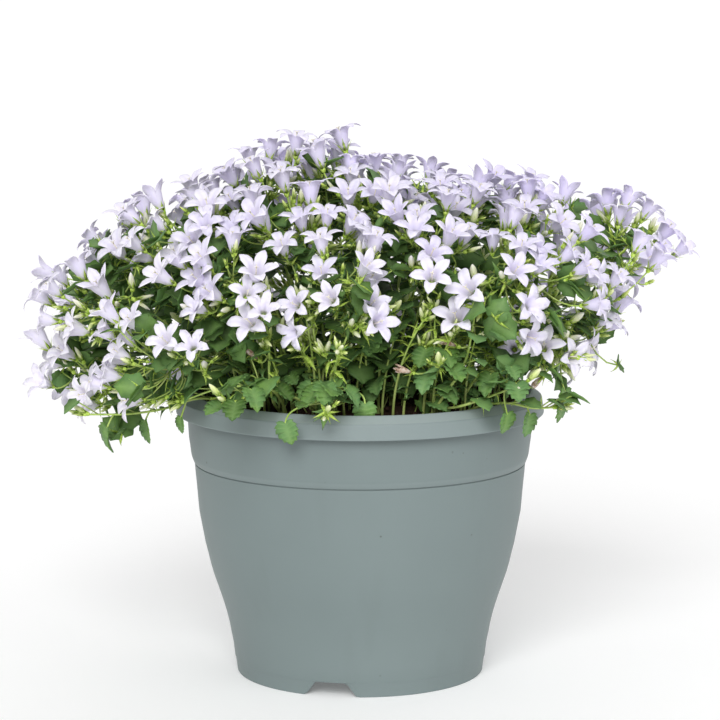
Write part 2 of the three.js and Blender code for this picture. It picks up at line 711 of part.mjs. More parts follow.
// A leaf: a toothed blade, thickest on its midrib, folded up a little at the sides
function growLeaf(stem, leaf) {
  const { socket, frame, length, joint } = leaf;
  const blade = (u, v, lift) => {
    const fold = 0.22 * Math.abs(v) * length;
    return place(joint, frame, u * length, v * length, lift + fold);
  };
  const right = LEAF_EDGE.map(([u, v]) => blade(u, -v, 0));
  const left = LEAF_EDGE.map(([u, v]) => blade(u, v, 0)).reverse();
  const edge = [...right, blade(1, 0, 0), ...left];
  const heel = [blade(0, 0.06, -0.6), blade(0, 0, 0.9), blade(0, -0.06, -0.6)];
  const [heelLeft, heelTop, heelRight] = growStalk(stem, socket, heel);
  const top = stem.corners.length;
  const [under, first] = [top + 1, top + 2];
  const last = first + edge.length - 1;
  stem.corners.push(blade(0.4, 0, LEAF.thick), blade(0.4, 0, -LEAF.thick), ...edge);
  for (let k = first; k < last; k += 1) stem.triangles.push([top, k, k + 1], [under, k + 1, k]);
  stem.triangles.push([top, last, heelTop], [last, heelLeft, heelTop], [top, heelTop, first]);
  stem.triangles.push([heelTop, heelRight, first], [under, heelLeft, last]);
  stem.triangles.push([under, heelRight, heelLeft], [under, first, heelRight]);
}

function stemMesh(stem, colour) {
  return meshOf(stem.name, solidFrom(stem.corners, stem.triangles), colour, 0.75);
}

// Layout, in the order that decides what gives way to what
const sprays = layOutSprays();
layOutHeads(sprays);
const leafyStems = layOutLeafyStems();
const stems = [...sprays, ...leafyStems];
layOutTipBuds(leafyStems);
const leafDraw = seededDraws(SEEDS.leaf);
for (const stem of leafyStems) {
  for (const kind of ['leaf', 'leaf', 'stalk', 'stalk', 'stalk']) placeLeaf(stem, kind, leafDraw, 0.6, 1.05);
}
for (const spray of sprays) {
  const onCrown = spray.direction.z > CROWN;
  for (const kind of onCrown ? ['leaf'] : ['leaf', 'leaf']) placeLeaf(spray, kind, leafDraw, 0.3, 0.9);
}

const bellflower = new THREE.Group();
bellflower.add(makePot(), makeSoil(stems));
for (const spray of sprays) bellflower.add(stemMesh(spray, COLOURS.bloom));
for (const stem of leafyStems) bellflower.add(stemMesh(stem, COLOURS.leaf));

export default bellflower;
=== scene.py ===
import math
from collections import namedtuple

import bpy
import numpy as np
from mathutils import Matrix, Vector, noise


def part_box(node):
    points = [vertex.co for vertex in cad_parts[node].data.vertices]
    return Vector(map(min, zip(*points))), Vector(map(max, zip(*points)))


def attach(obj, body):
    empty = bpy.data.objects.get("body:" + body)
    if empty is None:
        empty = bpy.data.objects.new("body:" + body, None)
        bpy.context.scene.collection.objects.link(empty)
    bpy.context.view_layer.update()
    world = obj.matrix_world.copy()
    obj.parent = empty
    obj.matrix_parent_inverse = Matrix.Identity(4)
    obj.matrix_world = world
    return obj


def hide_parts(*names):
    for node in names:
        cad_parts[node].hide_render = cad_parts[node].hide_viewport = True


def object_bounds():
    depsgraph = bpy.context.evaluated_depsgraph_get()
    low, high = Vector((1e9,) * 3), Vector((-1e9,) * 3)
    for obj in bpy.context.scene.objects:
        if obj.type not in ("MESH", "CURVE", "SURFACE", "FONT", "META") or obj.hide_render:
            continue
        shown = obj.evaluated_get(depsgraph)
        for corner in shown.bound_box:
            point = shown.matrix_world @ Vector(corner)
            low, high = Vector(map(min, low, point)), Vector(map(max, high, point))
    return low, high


# A potted bellflower: the fine pot, soil, blooms, buds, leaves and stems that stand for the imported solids.
# Each bloom, bud, leaf and stem is read back from its solid, so that the fine one sits exactly on it.

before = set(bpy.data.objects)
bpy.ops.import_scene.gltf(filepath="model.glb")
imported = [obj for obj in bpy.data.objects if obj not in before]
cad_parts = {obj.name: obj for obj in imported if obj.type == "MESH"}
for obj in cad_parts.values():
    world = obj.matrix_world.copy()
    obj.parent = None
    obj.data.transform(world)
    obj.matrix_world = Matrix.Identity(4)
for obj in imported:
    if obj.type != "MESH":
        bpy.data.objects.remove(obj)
packed_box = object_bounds()
pot_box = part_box("pot")

MM = 0.001
UP = np.array([0.0, 0.0, 1.0])
draws = np.random.default_rng(11)

# Real sizes in metres
TUBE_LENGTH = 12 * MM
LOBE_REACH = 12 * MM
LOBE_LENGTH = 11 * MM
PETAL_THICK = 0.22 * MM
STEM_RADIUS = 1.0 * MM
STALK_RADIUS = 0.48 * MM
PETIOLE_RADIUS = 0.45 * MM
RIM_RADIUS = 115 * MM
RIM_HEIGHT = 179 * MM
SOIL_RADIUS = 105 * MM

# Where the pot's axis stands on the floor
POT_AXIS = np.array([(pot_box[0].x + pot_box[1].x) / 2, (pot_box[0].y + pot_box[1].y) / 2, 0.0])

# Which material a face of a plant piece takes
STEM, CALYX, BUD, LEAF = range(4)
PETAL, PISTIL = range(2)

# What each corner tells its material: how far along it lies, how near a vein, and its tint
FIELDS = ("along", "vein", "tint")


def unit(vector):
    return vector / np.linalg.norm(vector, axis=-1, keepdims=True)


def axes_on(z, x=None):
    """Three axes as rows, with z along a direction and x as near as it can be to the one given."""
    z = unit(np.asarray(z, float))
    x = np.cross(UP, z) if x is None else np.asarray(x, float)
    if np.linalg.norm(np.cross(x, z)) < 1e-6:
        x = np.array([1.0, 0.0, 0.0]) if abs(z[0]) < 0.9 else UP
    x = unit(x - z * (x @ z))
    return np.array([x, np.cross(z, x), z])


def any_way():
    """A random direction, of no fixed length."""
    return draws.uniform(-1, 1, 3)


def jitter(vector, amount):
    return unit(vector + amount * any_way())


def around(turn):
    """The level directions outward and sideways at an angle round z."""
    return np.array([math.cos(turn), math.sin(turn), 0.0]), np.array([-math.sin(turn), math.cos(turn), 0.0])


def nearest(points, at):
    return points[np.linalg.norm(points - at, axis=1).argmin()]


def from_axis(x, y, z):
    """A point given in millimetres from the pot's axis."""
    return POT_AXIS + np.array([x, y, z]) * MM


class Shape:
    """Corners, each with its value for every field, and faces, each with its material."""

    def __init__(self, points, quads=(), triangles=(), along=0.0, vein=0.0, tint=0.5, kind=0):
        self.points = np.asarray(points, float).reshape(-1, 3)
        self.quads = np.asarray(quads, int).reshape(-1, 4)
        self.triangles = np.asarray(triangles, int).reshape(-1, 3)
        for field, values in zip(FIELDS, (along, vein, tint)):
            setattr(self, field, np.broadcast_to(values, len(self.points)).astype(float))
        self.kinds = np.full(len(self.quads) + len(self.triangles), kind)
        self.crisp = np.zeros(len(self.kinds), bool)

    def at(self, origin, axes, size=1.0, tint=None):
        """A copy at a place, with the shape's own axes turned to the given rows."""
        made = Shape(origin + (self.points * size) @ axes, self.quads, self.triangles, self.along, self.vein)
        made.tint = self.tint if tint is None else self.tint - 0.5 + float(tint)
        made.kinds = self.kinds
        made.crisp = self.crisp
        return made


def merged(shapes):
    """One shape out of many."""
    starts = np.cumsum([0] + [len(s.points) for s in shapes])
    whole = Shape(
        np.concatenate([s.points for s in shapes]),
        np.concatenate([s.quads + start for s, start in zip(shapes, starts)]),
        np.concatenate([s.triangles + start for s, start in zip(shapes, starts)]),
    )
    for field in FIELDS:
        setattr(whole, field, np.concatenate([getattr(s, field) for s in shapes]))
    for name in ("kinds", "crisp"):
        of_quads = [getattr(s, name)[: len(s.quads)] for s in shapes]
        of_triangles = [getattr(s, name)[len(s.quads) :] for s in shapes]
        setattr(whole, name, np.concatenate(of_quads + of_triangles))
    return whole


def corner_normals(shape):
    fans = np.concatenate([shape.quads[:, [0, 1, 2]], shape.quads[:, [0, 2, 3]], shape.triangles])
    a, b, c = (shape.points[fans[:, k]] for k in range(3))
    facing = np.cross(b - a, c - a)
    normals = np.zeros_like(shape.points)
    for k in range(3):
        np.add.at(normals, fans[:, k], facing)
    return unit(normals + 1e-15)


def thickened(shape, thick):
    """A thin closed solid out of an open surface: two skins, joined all round the rim."""
    count = len(shape.points)
    shift = corner_normals(shape) * thick / 2
    edges = {}
    for face in [*shape.quads.tolist(), *shape.triangles.tolist()]:
        for k, corner in enumerate(face):
            edges[(corner, face[(k + 1) % len(face)])] = True
    rim = [(b, a, a + count, b + count) for a, b in edges if (b, a) not in edges]
    points = np.concatenate([shape.points + shift, shape.points - shift])
    quads = np.concatenate([shape.quads, shape.quads[:, ::-1] + count, np.array(rim).reshape(-1, 4)])
    triangles = np.concatenate([shape.triangles, shape.triangles[:, ::-1] + count])
    made = Shape(points, quads, triangles, kind=shape.kinds[0])
    for field in FIELDS:
        setattr(made, field, np.tile(getattr(shape, field), 2))
    made.crisp[len(quads) - len(rim) : len(quads)] = True
    return made


def grid_quads(rows, columns, closed=False):
    """The faces of a grid of corners, row by row; a closed one joins its last column to its first."""
    quads = []
    for row in range(rows - 1):
        for column in range(columns if closed else columns - 1):
            a = row * columns + column
            b = row * columns + (column + 1) % columns
            quads.append((a, b, b + columns, a + columns))
    return quads


def even_turns(sides):
    return np.arange(sides) * 2 * math.pi / sides


def circle(radius, angles, height):
    """Corners round z; the radius and the height may differ from corner to corner."""
    heights = np.broadcast_to(height, len(angles))
    return np.stack([radius * np.cos(angles), radius * np.sin(angles), heights], 1)


def capped(rings, ends, along=0.0, vein=0.0, tint=0.5, kind=0):
    """A closed shape of rings of corners, one after the other, with a middle corner at each end."""
    count, sides = len(rings), len(rings[0])
    bottom, top, last = count * sides, count * sides + 1, (count - 1) * sides
    fans = []
    for k in range(sides):
        beyond = (k + 1) % sides
        fans += [(bottom, beyond, k), (top, last + k, last + beyond)]
    points = np.concatenate([*rings, ends])
    return Shape(points, grid_quads(count, sides, closed=True), fans, along, vein, tint, kind)


def lathe(profile, sides, kind=0, pleats=0.0, turn=0.0):
    """A solid of rings round z, closed at both ends; pleats are five soft ridges."""
    profile = np.asarray(profile, float)
    low, high = profile[0][1], profile[-1][1]
    angles = even_turns(sides)
    ridges = 1 + pleats * np.cos(5 * angles)
    rings = [circle(radius * ridges, angles + turn * k, height) for k, (radius, height) in enumerate(profile)]
    along = np.append(np.repeat((profile[:, 1] - low) / (high - low), sides), [0, 1])
    vein = np.append(np.tile(0.5 + 0.5 * np.cos(5 * angles), len(profile)), [0, 0])
    return capped(rings, [[0, 0, low], [0, 0, high]], along, vein, kind=kind)


def tube(line, radii, sides, kind=STEM):
    """A closed round tube along a line of points, with slightly domed ends."""
    dome = 0.3
    line = np.asarray(line, float)
    radii = np.broadcast_to(radii, len(line))
    ahead = unit(np.gradient(line, axis=0))
    mark = axes_on(ahead[0])[0]
    angles = even_turns(sides)
    rings = []
    for at, to, radius in zip(line, ahead, radii):
        mark = unit(mark - to * (mark @ to))
        side = np.cross(to, mark)
        rings.append(at + radius * (np.outer(np.cos(angles), mark) + np.outer(np.sin(angles), side)))
    ends = [line[0] - ahead[0] * radii[0] * dome, line[-1] + ahead[-1] * radii[-1] * dome]
    along = np.append(np.repeat(np.linspace(0, 1, len(line)), sides), [0, 1])
    return capped(rings, ends, along, kind=kind)


def bent(start, bend, end, count):
    """Points on a quadratic curve."""
    t = np.linspace(0, 1, count)[:, None]
    return (1 - t) ** 2 * start + 2 * t * (1 - t) * bend + t**2 * end


def smooth_line(points, count):
    """A smooth line through points, stepped evenly."""
    points = np.asarray(points, float)
    far = np.concatenate([[0], np.cumsum(np.linalg.norm(np.diff(points, axis=0), axis=1))])
    slopes = np.gradient(points, far, axis=0)
    steps = np.linspace(0, far[-1], count)
    k = np.clip(np.searchsorted(far, steps, side="right") - 1, 0, len(far) - 2)
    span = (far[k + 1] - far[k])[:, None]
    t = ((steps - far[k]) / span[:, 0])[:, None]
    return (
        (2 * t**3 - 3 * t**2 + 1) * points[k]
        + (t**3 - 2 * t**2 + t) * span * slopes[k]
        + (3 * t**2 - 2 * t**3) * points[k + 1]
        + (t**3 - t**2) * span * slopes[k + 1]
    )


# The shapes that repeat, each in a few slightly different makes. Their z runs along the flower or bud,
# and a leaf lies along x with z up.

# A bell: its funnel as radius and height in millimetres, half its lobe's width at shares of the lobe's length,
# and how many corners go across a lobe
FINE_BELL = (
    [(1.7, -12), (2.8, -9.4), (3.5, -6.0), (4.8, -2.0)],
    [(0, 2.9), (0.16, 3.1), (0.36, 3.5), (0.6, 3.15), (0.82, 1.7), (1, 0)],
    5,
)
PLAIN_BELL = ([(1.7, -12), (3.2, -7.0), (4.8, -2.0)], [(0, 2.9), (0.3, 3.5), (0.66, 2.9), (1, 0)], 3)


def lobe_line(start, spread, curl, twist, steps):
    """One lobe's middle line, as distances out and up, with its lean at each step and how far it rolls."""
    slant = math.radians(spread + draws.uniform(-6, 6))
    end = slant - math.radians(curl + draws.uniform(-14, 14))
    roll = twist * draws.uniform(-1, 1)
    length = LOBE_LENGTH * draws.uniform(0.93, 1.06)
    lean = slant + (end - slant) * steps**1.35
    far = start[0] + length * np.concatenate([[0], np.cumsum(np.diff(steps) * np.cos(lean[1:]))])
    high = start[1] + length * np.concatenate([[0], np.cumsum(np.diff(steps) * np.sin(lean[1:]))])
    return far, high, lean, roll


def corolla(spread, curl, twist, fine=True):
    """A bell of five pointed lobes round z, with the lobes parting near z = 0 and the tube under them."""
    funnel, widths, wide = FINE_BELL if fine else PLAIN_BELL
    funnel = np.array(funnel) * MM
    steps, halves = np.array(widths).T
    halves = halves * MM
    columns = 5 * (wide - 1)
    angles = (np.arange(columns) / columns - 0.1) * 2 * math.pi
    points, along, vein, triangles = [], [], [], []
    for radius, height in funnel:
        points.extend(circle(radius * (1 + 0.05 * np.cos(5 * angles)), angles, height))
        along.extend([height / TUBE_LENGTH] * columns)
        vein.extend(np.abs(np.cos(2.5 * angles)) ** 3)
    quads = grid_quads(len(funnel), columns, closed=True)
    rim = (len(funnel) - 1) * columns
    for lobe in range(5):
        out, side = around(lobe * 2 * math.pi / 5)
        far, high, lean, roll = lobe_line(funnel[-1], spread, curl, twist, steps)
        previous = [rim + (lobe * (wide - 1) + k) % columns for k in range(wide)]
        for k in range(1, len(steps) - 1):
            t, half = steps[k], halves[k]
            row = [len(points) + n for n in range(wide)]
            for w in np.linspace(-1, 1, wide):
                # A lobe is a shallow channel near the bell, and arches the other way by its tip
                cup = (0.34 - 0.62 * t) * abs(w) ** 1.7 * half + roll * w * t * half
                hug = 0.75 * MM * w * w * (1 - t) ** 2
                outward = out * (far[k] - hug - cup * math.sin(lean[k]))
                points.append(outward + side * w * half + UP * (high[k] + cup * math.cos(lean[k])))
                along.append(t)
                vein.append((1 - abs(w)) ** 2)
            quads += [(previous[n], previous[n + 1], row[n + 1], row[n]) for n in range(wide - 1)]
            previous = row
        triangles += [(previous[n], previous[n + 1], len(points)) for n in range(wide - 1)]
        points.append(out * far[-1] + UP * high[-1])
        along.append(1.0)
        vein.append(1.0)
    bell = thickened(Shape(points, quads, triangles, along, vein, kind=PETAL), PETAL_THICK)
    # Petals are more lavender on the outside
    bell.tint[: len(points)] += 0.28
    return bell


def pistil():
    """The style in the bell's mouth, with its three curled stigma lobes."""
    parts = [tube(np.array([[0, 0, -9], [0, 0, -4], [0.2, 0, 0.8]]) * MM, 0.42 * MM, 5, PISTIL)]
    start = UP * 0.6 * MM
    for k in range(3):
        out, _ = around(k * 2 * math.pi / 3)
        lobe = bent(start, start + UP * 1.6 * MM, start + (out + UP) * 1.5 * MM, 3)
        parts.append(tube(lobe, [0.4 * MM, 0.38 * MM, 0.2 * MM], 4, PISTIL))
    return merged(parts)


def strap(length, width, lean, curl, kind=CALYX, rows=3):
    """A narrow pointed leaf along x, thickest on its midrib: it leans up from its heel and curls back."""
    shares = np.linspace(0, 1, rows + 1)
    angles = lean - curl * shares
    steps = np.diff(shares, prepend=0.0) * length
    x = np.cumsum(steps * np.cos(angles))
    z = np.cumsum(steps * np.sin(angles))
    belly = 0.75 + 0.6 * np.sin(math.pi * np.minimum(1, shares * 1.5 + 0.15))
    half = 0.5 * width * (1 - shares**1.6) * belly
    keel = 0.06 * length * (1 - shares)
    points = []
    for k in range(rows):
        edge = z[k] + 0.25 * half[k]
        points += [[x[k], -half[k], edge], [x[k], 0, z[k] - keel[k]], [x[k], half[k], edge], [x[k], 0, z[k]]]
    points.append([x[rows], 0, z[rows]])
    tip = 4 * rows
    triangles = [(0, 3, 2), (0, 2, 1)]
    triangles += [(tip - 4 + k, tip - 4 + (k + 1) % 4, tip) for k in range(4)]
    along = np.append(np.repeat(shares[:-1], 4), 1.0)
    vein = np.append(np.tile([0.0, 0.5, 0.0, 1.0], rows), 1.0)
    return Shape(points, grid_quads(rows, 4, closed=True), triangles, along, vein, kind=kind)


def calyx(radius, length, lean, curl, rows=3, sides=10):
    """The green cup under a bell or bud, with five lobes: z is the flower's axis, 0 the cup's mouth."""
    parts = [lathe(np.array([[0.6, -3.0], [1.3, -2.4], [radius / MM, 0.3]]) * MM, sides, CALYX)]
    for k in range(5):
        out, side = around((k + 0.5) * 2 * math.pi / 5)
        reach = length * draws.uniform(0.85, 1.15)
        lobe = strap(reach, 1.6 * MM, lean + draws.uniform(-0.15, 0.15), curl, rows=rows)
        parts.append(lobe.at(out * radius * 0.9 - UP * 0.3 * MM, np.array([out, side, UP])))
    return merged(parts)


def bud(length, radius, pleats, sides=10):
    """A slim closed bell, pleated when it has sides enough, from z = 0 to its pointed tip."""
    shares = [[0.6, 0.0], [0.93, 0.2], [1.0, 0.45], [0.82, 0.7], [0.45, 0.89], [0.12, 0.99]]
    if sides < 10:
        shares = [[0.6, 0.0], [1.0, 0.35], [0.75, 0.75], [0.15, 0.99]]
    return lathe([[radius * r, length * z] for r, z in shares], sides, BUD, pleats=pleats, turn=0.07)


# Half of a leaf's outline as shares of its length along and across it, with its coarse teeth
LEAF_HALF = [
    (0.0, 0.03), (-0.09, 0.14), (-0.11, 0.28), (-0.06, 0.44), (0.0, 0.37), (0.06, 0.48), (0.17, 0.58),
    (0.18, 0.48), (0.28, 0.545), (0.42, 0.575), (0.41, 0.46), (0.52, 0.49), (0.66, 0.475), (0.64, 0.36),
    (0.73, 0.35), (0.85, 0.315), (0.83, 0.20), (0.91, 0.14), (1.0, 0.0),
]
TOOTH_TIPS = (3, 6, 9, 12, 15)
LEAF_BREADTH = 0.93
LEAF_THICK = 0.028


def leaf(length, fold, droop, wave, fine=True):
    """A toothed heart-shaped blade along x, with its heel at 0 and veins pressed into it."""
    outline = LEAF_HALF if fine else LEAF_HALF[::2] + LEAF_HALF[-1:]
    tips = TOOTH_TIPS if fine else ()
    steps = (0, 0.5, 1) if fine else (0, 1)
    rows, columns = len(outline), len(steps)
    half = rows * columns
    phase = draws.uniform(0, 6.28, 3)
    points, along, vein = [], [], []
    for side in (1, -1):
        for index, (u, v) in enumerate(outline):
            spine = 0.97 * (index / (rows - 1)) ** 1.15
            on_vein = 1.0 if index in tips else 0.0
            for step in steps:
                x = spine + (u - spine) * step
                y = side * (v * LEAF_BREADTH) * step
                lift = fold * abs(y) - droop * max(x, 0) ** 2
                lift += wave * math.sin(7 * x + phase[0]) * y + 0.5 * wave * math.sin(9 * y + phase[1]) * x
                press = 0.004 * on_vein * step + 0.018 * (step == 0)
                points.append([x * length, y * length, (lift - press) * length])
                along.append(min(1.0, max(0.0, x)))
                vein.append(max(on_vein * (1 - 0.5 * step), 1.0 if step == 0 else 0.0))
    # The two halves share the corners of the midrib and the tip
    index = np.arange(2 * half)
    index[half::columns] = np.arange(rows) * columns
    index[-columns:] = np.arange(half - columns, half)
    used, shared = np.unique(index, return_inverse=True)
    one = np.array(grid_quads(rows, columns))
    faces = shared.reshape(-1)[np.concatenate([one, one[:, ::-1] + half])].tolist()
    faces = [[k for n, k in enumerate(face) if k != face[n - 1]] for face in faces]
    quads = [face for face in faces if len(face) == 4]
    triangles = [face for face in faces if len(face) == 3]
    points, along, vein = (np.array(values)[used] for values in (points, along, vein))
    return thickened(Shape(points, quads, triangles, along, vein, kind=LEAF), LEAF_THICK * length)


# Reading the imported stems

# A bloom, bud or leaf: where it sits, its axes as rows, its size, and where its stalk leaves the stem
Head = namedtuple("Head", "kind at axes size base")


def welded(node):
    """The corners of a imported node, each once, and which corners join which."""
    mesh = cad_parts[node].data
    points = np.empty(len(mesh.vertices) * 3)
    mesh.vertices.foreach_get("co", points)
    corners = np.empty(len(mesh.loops), int)
    mesh.loops.foreach_get("vertex_index", corners)
    points = points.reshape(-1, 3)
    microns = np.round(points * 1e6).astype(int)
    _, first, same = np.unique(microns, axis=0, return_index=True, return_inverse=True)
    beside = [set() for _ in first]
    for a, b, c in same.reshape(-1)[corners].reshape(-1, 3).tolist():
        beside[a] |= {b, c}
        beside[b] |= {a, c}
        beside[c] |= {a, b}
    return points[first], beside


def joined(beside, corners):
    """Every corner that one of these joins."""
    return set().union(*(beside[k] for k in corners))


def joining(beside, count):
    """The corners that join so many others."""
    return {k for k in range(len(beside)) if len(beside[k]) == count}


def middle(points, corners):
    return points[list(corners)].mean(0)


def read_blooms(points, beside, _):
    """Blooms: a cup's corner joins five lobe tips and the valleys between them."""
    tips = joining(beside, 3)
    for cup in range(len(points)):
        lobes = beside[cup] & tips
        if len(lobes) < 5:
            continue
        valleys = beside[cup] - tips
        ring = joined(beside, valleys) - valleys - lobes - {cup}
        axis = unit(points[cup] - middle(points, ring))
        throat = points[cup] + 3 * MM * axis
        reach = points[sorted(lobes)] - throat
        reach = reach - np.outer(reach @ axis, axis)
        size = np.linalg.norm(reach, axis=1).mean() / LOBE_REACH
        yield ring, {cup} | lobes | valleys, throat, axes_on(axis, reach[0]), size


def read_buds(points, beside, taken):
    """Buds: the tips that no bloom has taken, each on the ring of its belly."""
    for tip in sorted(joining(beside, 3) - taken):
        belly = beside[tip]
        heel = joined(beside, belly) - belly - {tip}
        base = middle(points, heel)
        axis = points[tip] - base
        yield heel, belly | {tip}, base, axes_on(axis), np.linalg.norm(axis)


def read_leaves(points, beside, taken):
    """Leaves: two middles, one on each face, that share the corners round the leaf's edge."""
    flat = joining(beside, 4) - taken
    faces = [k for k in range(len(points)) if len(beside[k] & flat) >= 7]
    for top in faces:
        for under in faces:
            edge = beside[top] & beside[under]
            if len(beside[top]) != 10 or len(beside[under]) != 11 or len(edge) < 9:
                continue
            heel = (beside[top] | beside[under]) - edge - {top, under}
            joint = middle(points, heel)
            tip = max(edge, key=lambda k: np.linalg.norm(points[k] - joint))
            x = points[tip] - joint
            length = np.linalg.norm(x)
            x = unit(x)
            up = points[top] - points[under]
            up = unit(up - x * (x @ up))
            yield heel, edge | {top, under}, joint, np.array([x, np.cross(up, x), up]), length


def read_stem(node):
    """A packed stem's middle line and heads, told apart by how many others each corner joins."""
    points, beside = welded(node)
    taken = set()
    heads = []
    for kind, read in (("bloom", read_blooms), ("bud", read_buds), ("leaf", read_leaves)):
        for ring, inside, at, axes, size in list(read(points, beside, taken)):
            base = middle(points, joined(beside, ring) - ring - inside)
            heads.append(Head(kind, at, axes, size, base))
            taken |= ring | inside
    return middle_line(points, beside, set(range(len(points))) - taken), heads


def middle_line(points, beside, left):
    """The middles of a stem's three-cornered rings, from its root up."""
    ring = set(sorted(left, key=lambda k: points[k][2])[:3])
    seen = set()
    line = []
    while ring:
        line.append(middle(points, ring))
        seen |= ring
        ring = (joined(beside, ring) & left) - seen
    return np.array(line)


# Materials


class Look:
    """A material in the making, with short names for the few node kinds used. A field's name is a value too."""

    def __init__(self, name, roughness, specular, sheen=0.0, subsurface=0.0, subsurface_radius=(1.0, 0.8, 0.6)):
        self.material = bpy.data.materials.new(name)
        self.material.use_nodes = True
        self.tree = self.material.node_tree
        self.sockets = self.tree.nodes["Principled BSDF"].inputs
        # The values that are the same all over are set on the shader's own sockets
        self.sockets["Roughness"].default_value = roughness
        self.sockets["Specular IOR Level"].default_value = specular
        self.sockets["Sheen Weight"].default_value = sheen
        self.sockets["Subsurface Weight"].default_value = subsurface
        self.sockets["Subsurface Radius"].default_value = subsurface_radius
        self.sockets["Subsurface Scale"].default_value = 1.5 * MM

    def new(self, kind, **inputs):
        node = self.tree.nodes.new(kind)
        for name, value in inputs.items():
            self.put(node.inputs[name], value)
        return node

    def put(self, socket, value):
        if isinstance(value, str):
            node = self.tree.nodes.new("ShaderNodeAttribute")
            node.attribute_name = value
            value = node.outputs["Fac"]
        if isinstance(value, bpy.types.NodeSocket):
            self.tree.links.new(value, socket)
        else:
            socket.default_value = value

    def place(self, scale=(1, 1, 1)):
        """Where on the object a point lies, in metres."""
        spot = self.new("ShaderNodeTexCoord").outputs["Object"]
        return self.new("ShaderNodeMapping", Vector=spot, Scale=scale).outputs["Vector"]

    def noise(self, scale, detail=2.0, roughness=0.5, stretch=(1, 1, 1)):
        place = self.place(stretch)
        node = self.new("ShaderNodeTexNoise", Vector=place, Scale=scale, Detail=detail, Roughness=roughness)
        return node.outputs["Fac"]

    def ramp(self, share, *stops):
        """A colour or grey that changes with a share; a stop is a place and a colour."""
        node = self.new("ShaderNodeValToRGB", Fac=share)
        band = node.color_ramp.elements
        while len(band) < len(stops):
            band.new(0.5)
        for element, (at, colour) in zip(band, stops):
            element.position = at
            element.color = (*colour, 1.0) if isinstance(colour, tuple) else (colour, colour, colour, 1.0)
        return node.outputs["Color"]

    def mix(self, share, first, second):
        node = self.tree.nodes.new("ShaderNodeMix")
        node.data_type = "RGBA"
        self.put(node.inputs["Factor"], share)
        for socket, value in ((node.inputs[6], first), (node.inputs[7], second)):
            self.put(socket, (*value, 1.0) if isinstance(value, tuple) else value)
        return node.outputs[2]

    def math(self, operation, first, second):
        node = self.tree.nodes.new("ShaderNodeMath")
        node.operation = operation
        self.put(node.inputs[0], first)
        self.put(node.inputs[1], second)
        return node.outputs[0]

    def plus(self, first, second):
        return self.math("ADD", first, second)

    def times(self, first, second):
        return self.math("MULTIPLY", first, second)

    def over(self, under, colour, share, amount):
        """A colour laid over another, as far as an amount times a share."""
        return self.mix(self.times(share, amount), under, colour)

    def finish(self, colour, height, distance, strength):
        """The material, with its colour and the bumps on it."""
        self.put(self.sockets["Base Color"], colour)
        bump = self.new("ShaderNodeBump", Height=height, Distance=distance, Strength=strength)
        self.put(self.sockets["Normal"], bump.outputs["Normal"])
        return self.material


def petal_material():
    look = Look("petal", 0.6, 0.25, sheen=0.15, subsurface=0.3, subsurface_radius=(1.0, 0.9, 1.0))
    fibres = look.noise(900)
    # The tint runs from white to lavender; it carries the blooms' own tone and painted shade by their place
    white = look.mix("tint", (0.93, 0.89, 0.985), (0.69, 0.62, 0.93))
    veined = look.over(white, (0.56, 0.50, 0.82), "vein", 0.35)
    mottled = look.over(veined, (0.95, 0.94, 0.98), fibres, 0.16)
    in_tube = look.ramp(look.plus("along", 1.0), (0.0, 0.85), (0.16, 0.35), (0.4, 0.0))
    ribs = look.plus(look.times("vein", 0.4), look.times(fibres, 0.3))
    return look.finish(look.mix(in_tube, mottled, (0.52, 0.60, 0.22)), ribs, 0.25 * MM, 0.5)


def withered_material():
    look = Look("withered_petal", 0.75, 0.15, subsurface=0.1)
    spots = look.noise(420, detail=4)
    paper = look.ramp(spots, (0.35, (0.36, 0.20, 0.12)), (0.5, (0.74, 0.58, 0.46)), (0.7, (0.86, 0.78, 0.72)))
    return look.finish(look.over(paper, (0.50, 0.30, 0.26), "vein", 0.3), spots, 0.4 * MM, 0.8)


def pistil_material():
    look = Look("pistil", 0.6, 0.3, subsurface=0.2)
    grain = look.noise(1500)
    cream = look.ramp(grain, (0.3, (0.72, 0.66, 0.62)), (0.7, (0.88, 0.85, 0.62)))
    return look.finish(cream, grain, 0.1 * MM, 0.4)


def stem_material():
    look = Look("stem", 0.5, 0.26, subsurface=0.1)
    streaks = look.noise(260, detail=3, stretch=(1, 1, 0.2))
    young = look.ramp(streaks, (0.3, (0.29, 0.47, 0.06)), (0.7, (0.58, 0.74, 0.22)))
    old = look.ramp(streaks, (0.3, (0.17, 0.22, 0.06)), (0.7, (0.34, 0.40, 0.13)))
    return look.finish(look.mix("along", old, young), streaks, 0.1 * MM, 0.5)


def calyx_material():
    look = Look("calyx", 0.55, 0.22, subsurface=0.12)
    grain = look.noise(700)
    green = look.ramp(grain, (0.3, (0.28, 0.48, 0.025)), (0.7, (0.74, 0.90, 0.22)))
    tipped = look.over(green, (0.12, 0.25, 0.03), "along", 0.3)
    return look.finish(tipped, look.plus(grain, "vein"), 0.12 * MM, 0.5)


def bud_material():
    look = Look("bud", 0.55, 0.3, sheen=0.1, subsurface=0.25, subsurface_radius=(1.0, 0.9, 0.7))
    grain = look.noise(800)
    ripe = look.ramp("along", (0, (0.50, 0.60, 0.16)), (0.35, (0.82, 0.83, 0.50)), (1, (0.86, 0.82, 0.88)))
    young = look.ramp("along", (0, (0.36, 0.56, 0.04)), (0.6, (0.64, 0.79, 0.13)), (1, (0.88, 0.95, 0.38)))
    folded = look.over(look.mix("tint", young, ripe), (0.30, 0.40, 0.14), "vein", 0.25)
    return look.finish(look.over(folded, (0.85, 0.86, 0.72), grain, 0.07), grain, 0.12 * MM, 0.4)


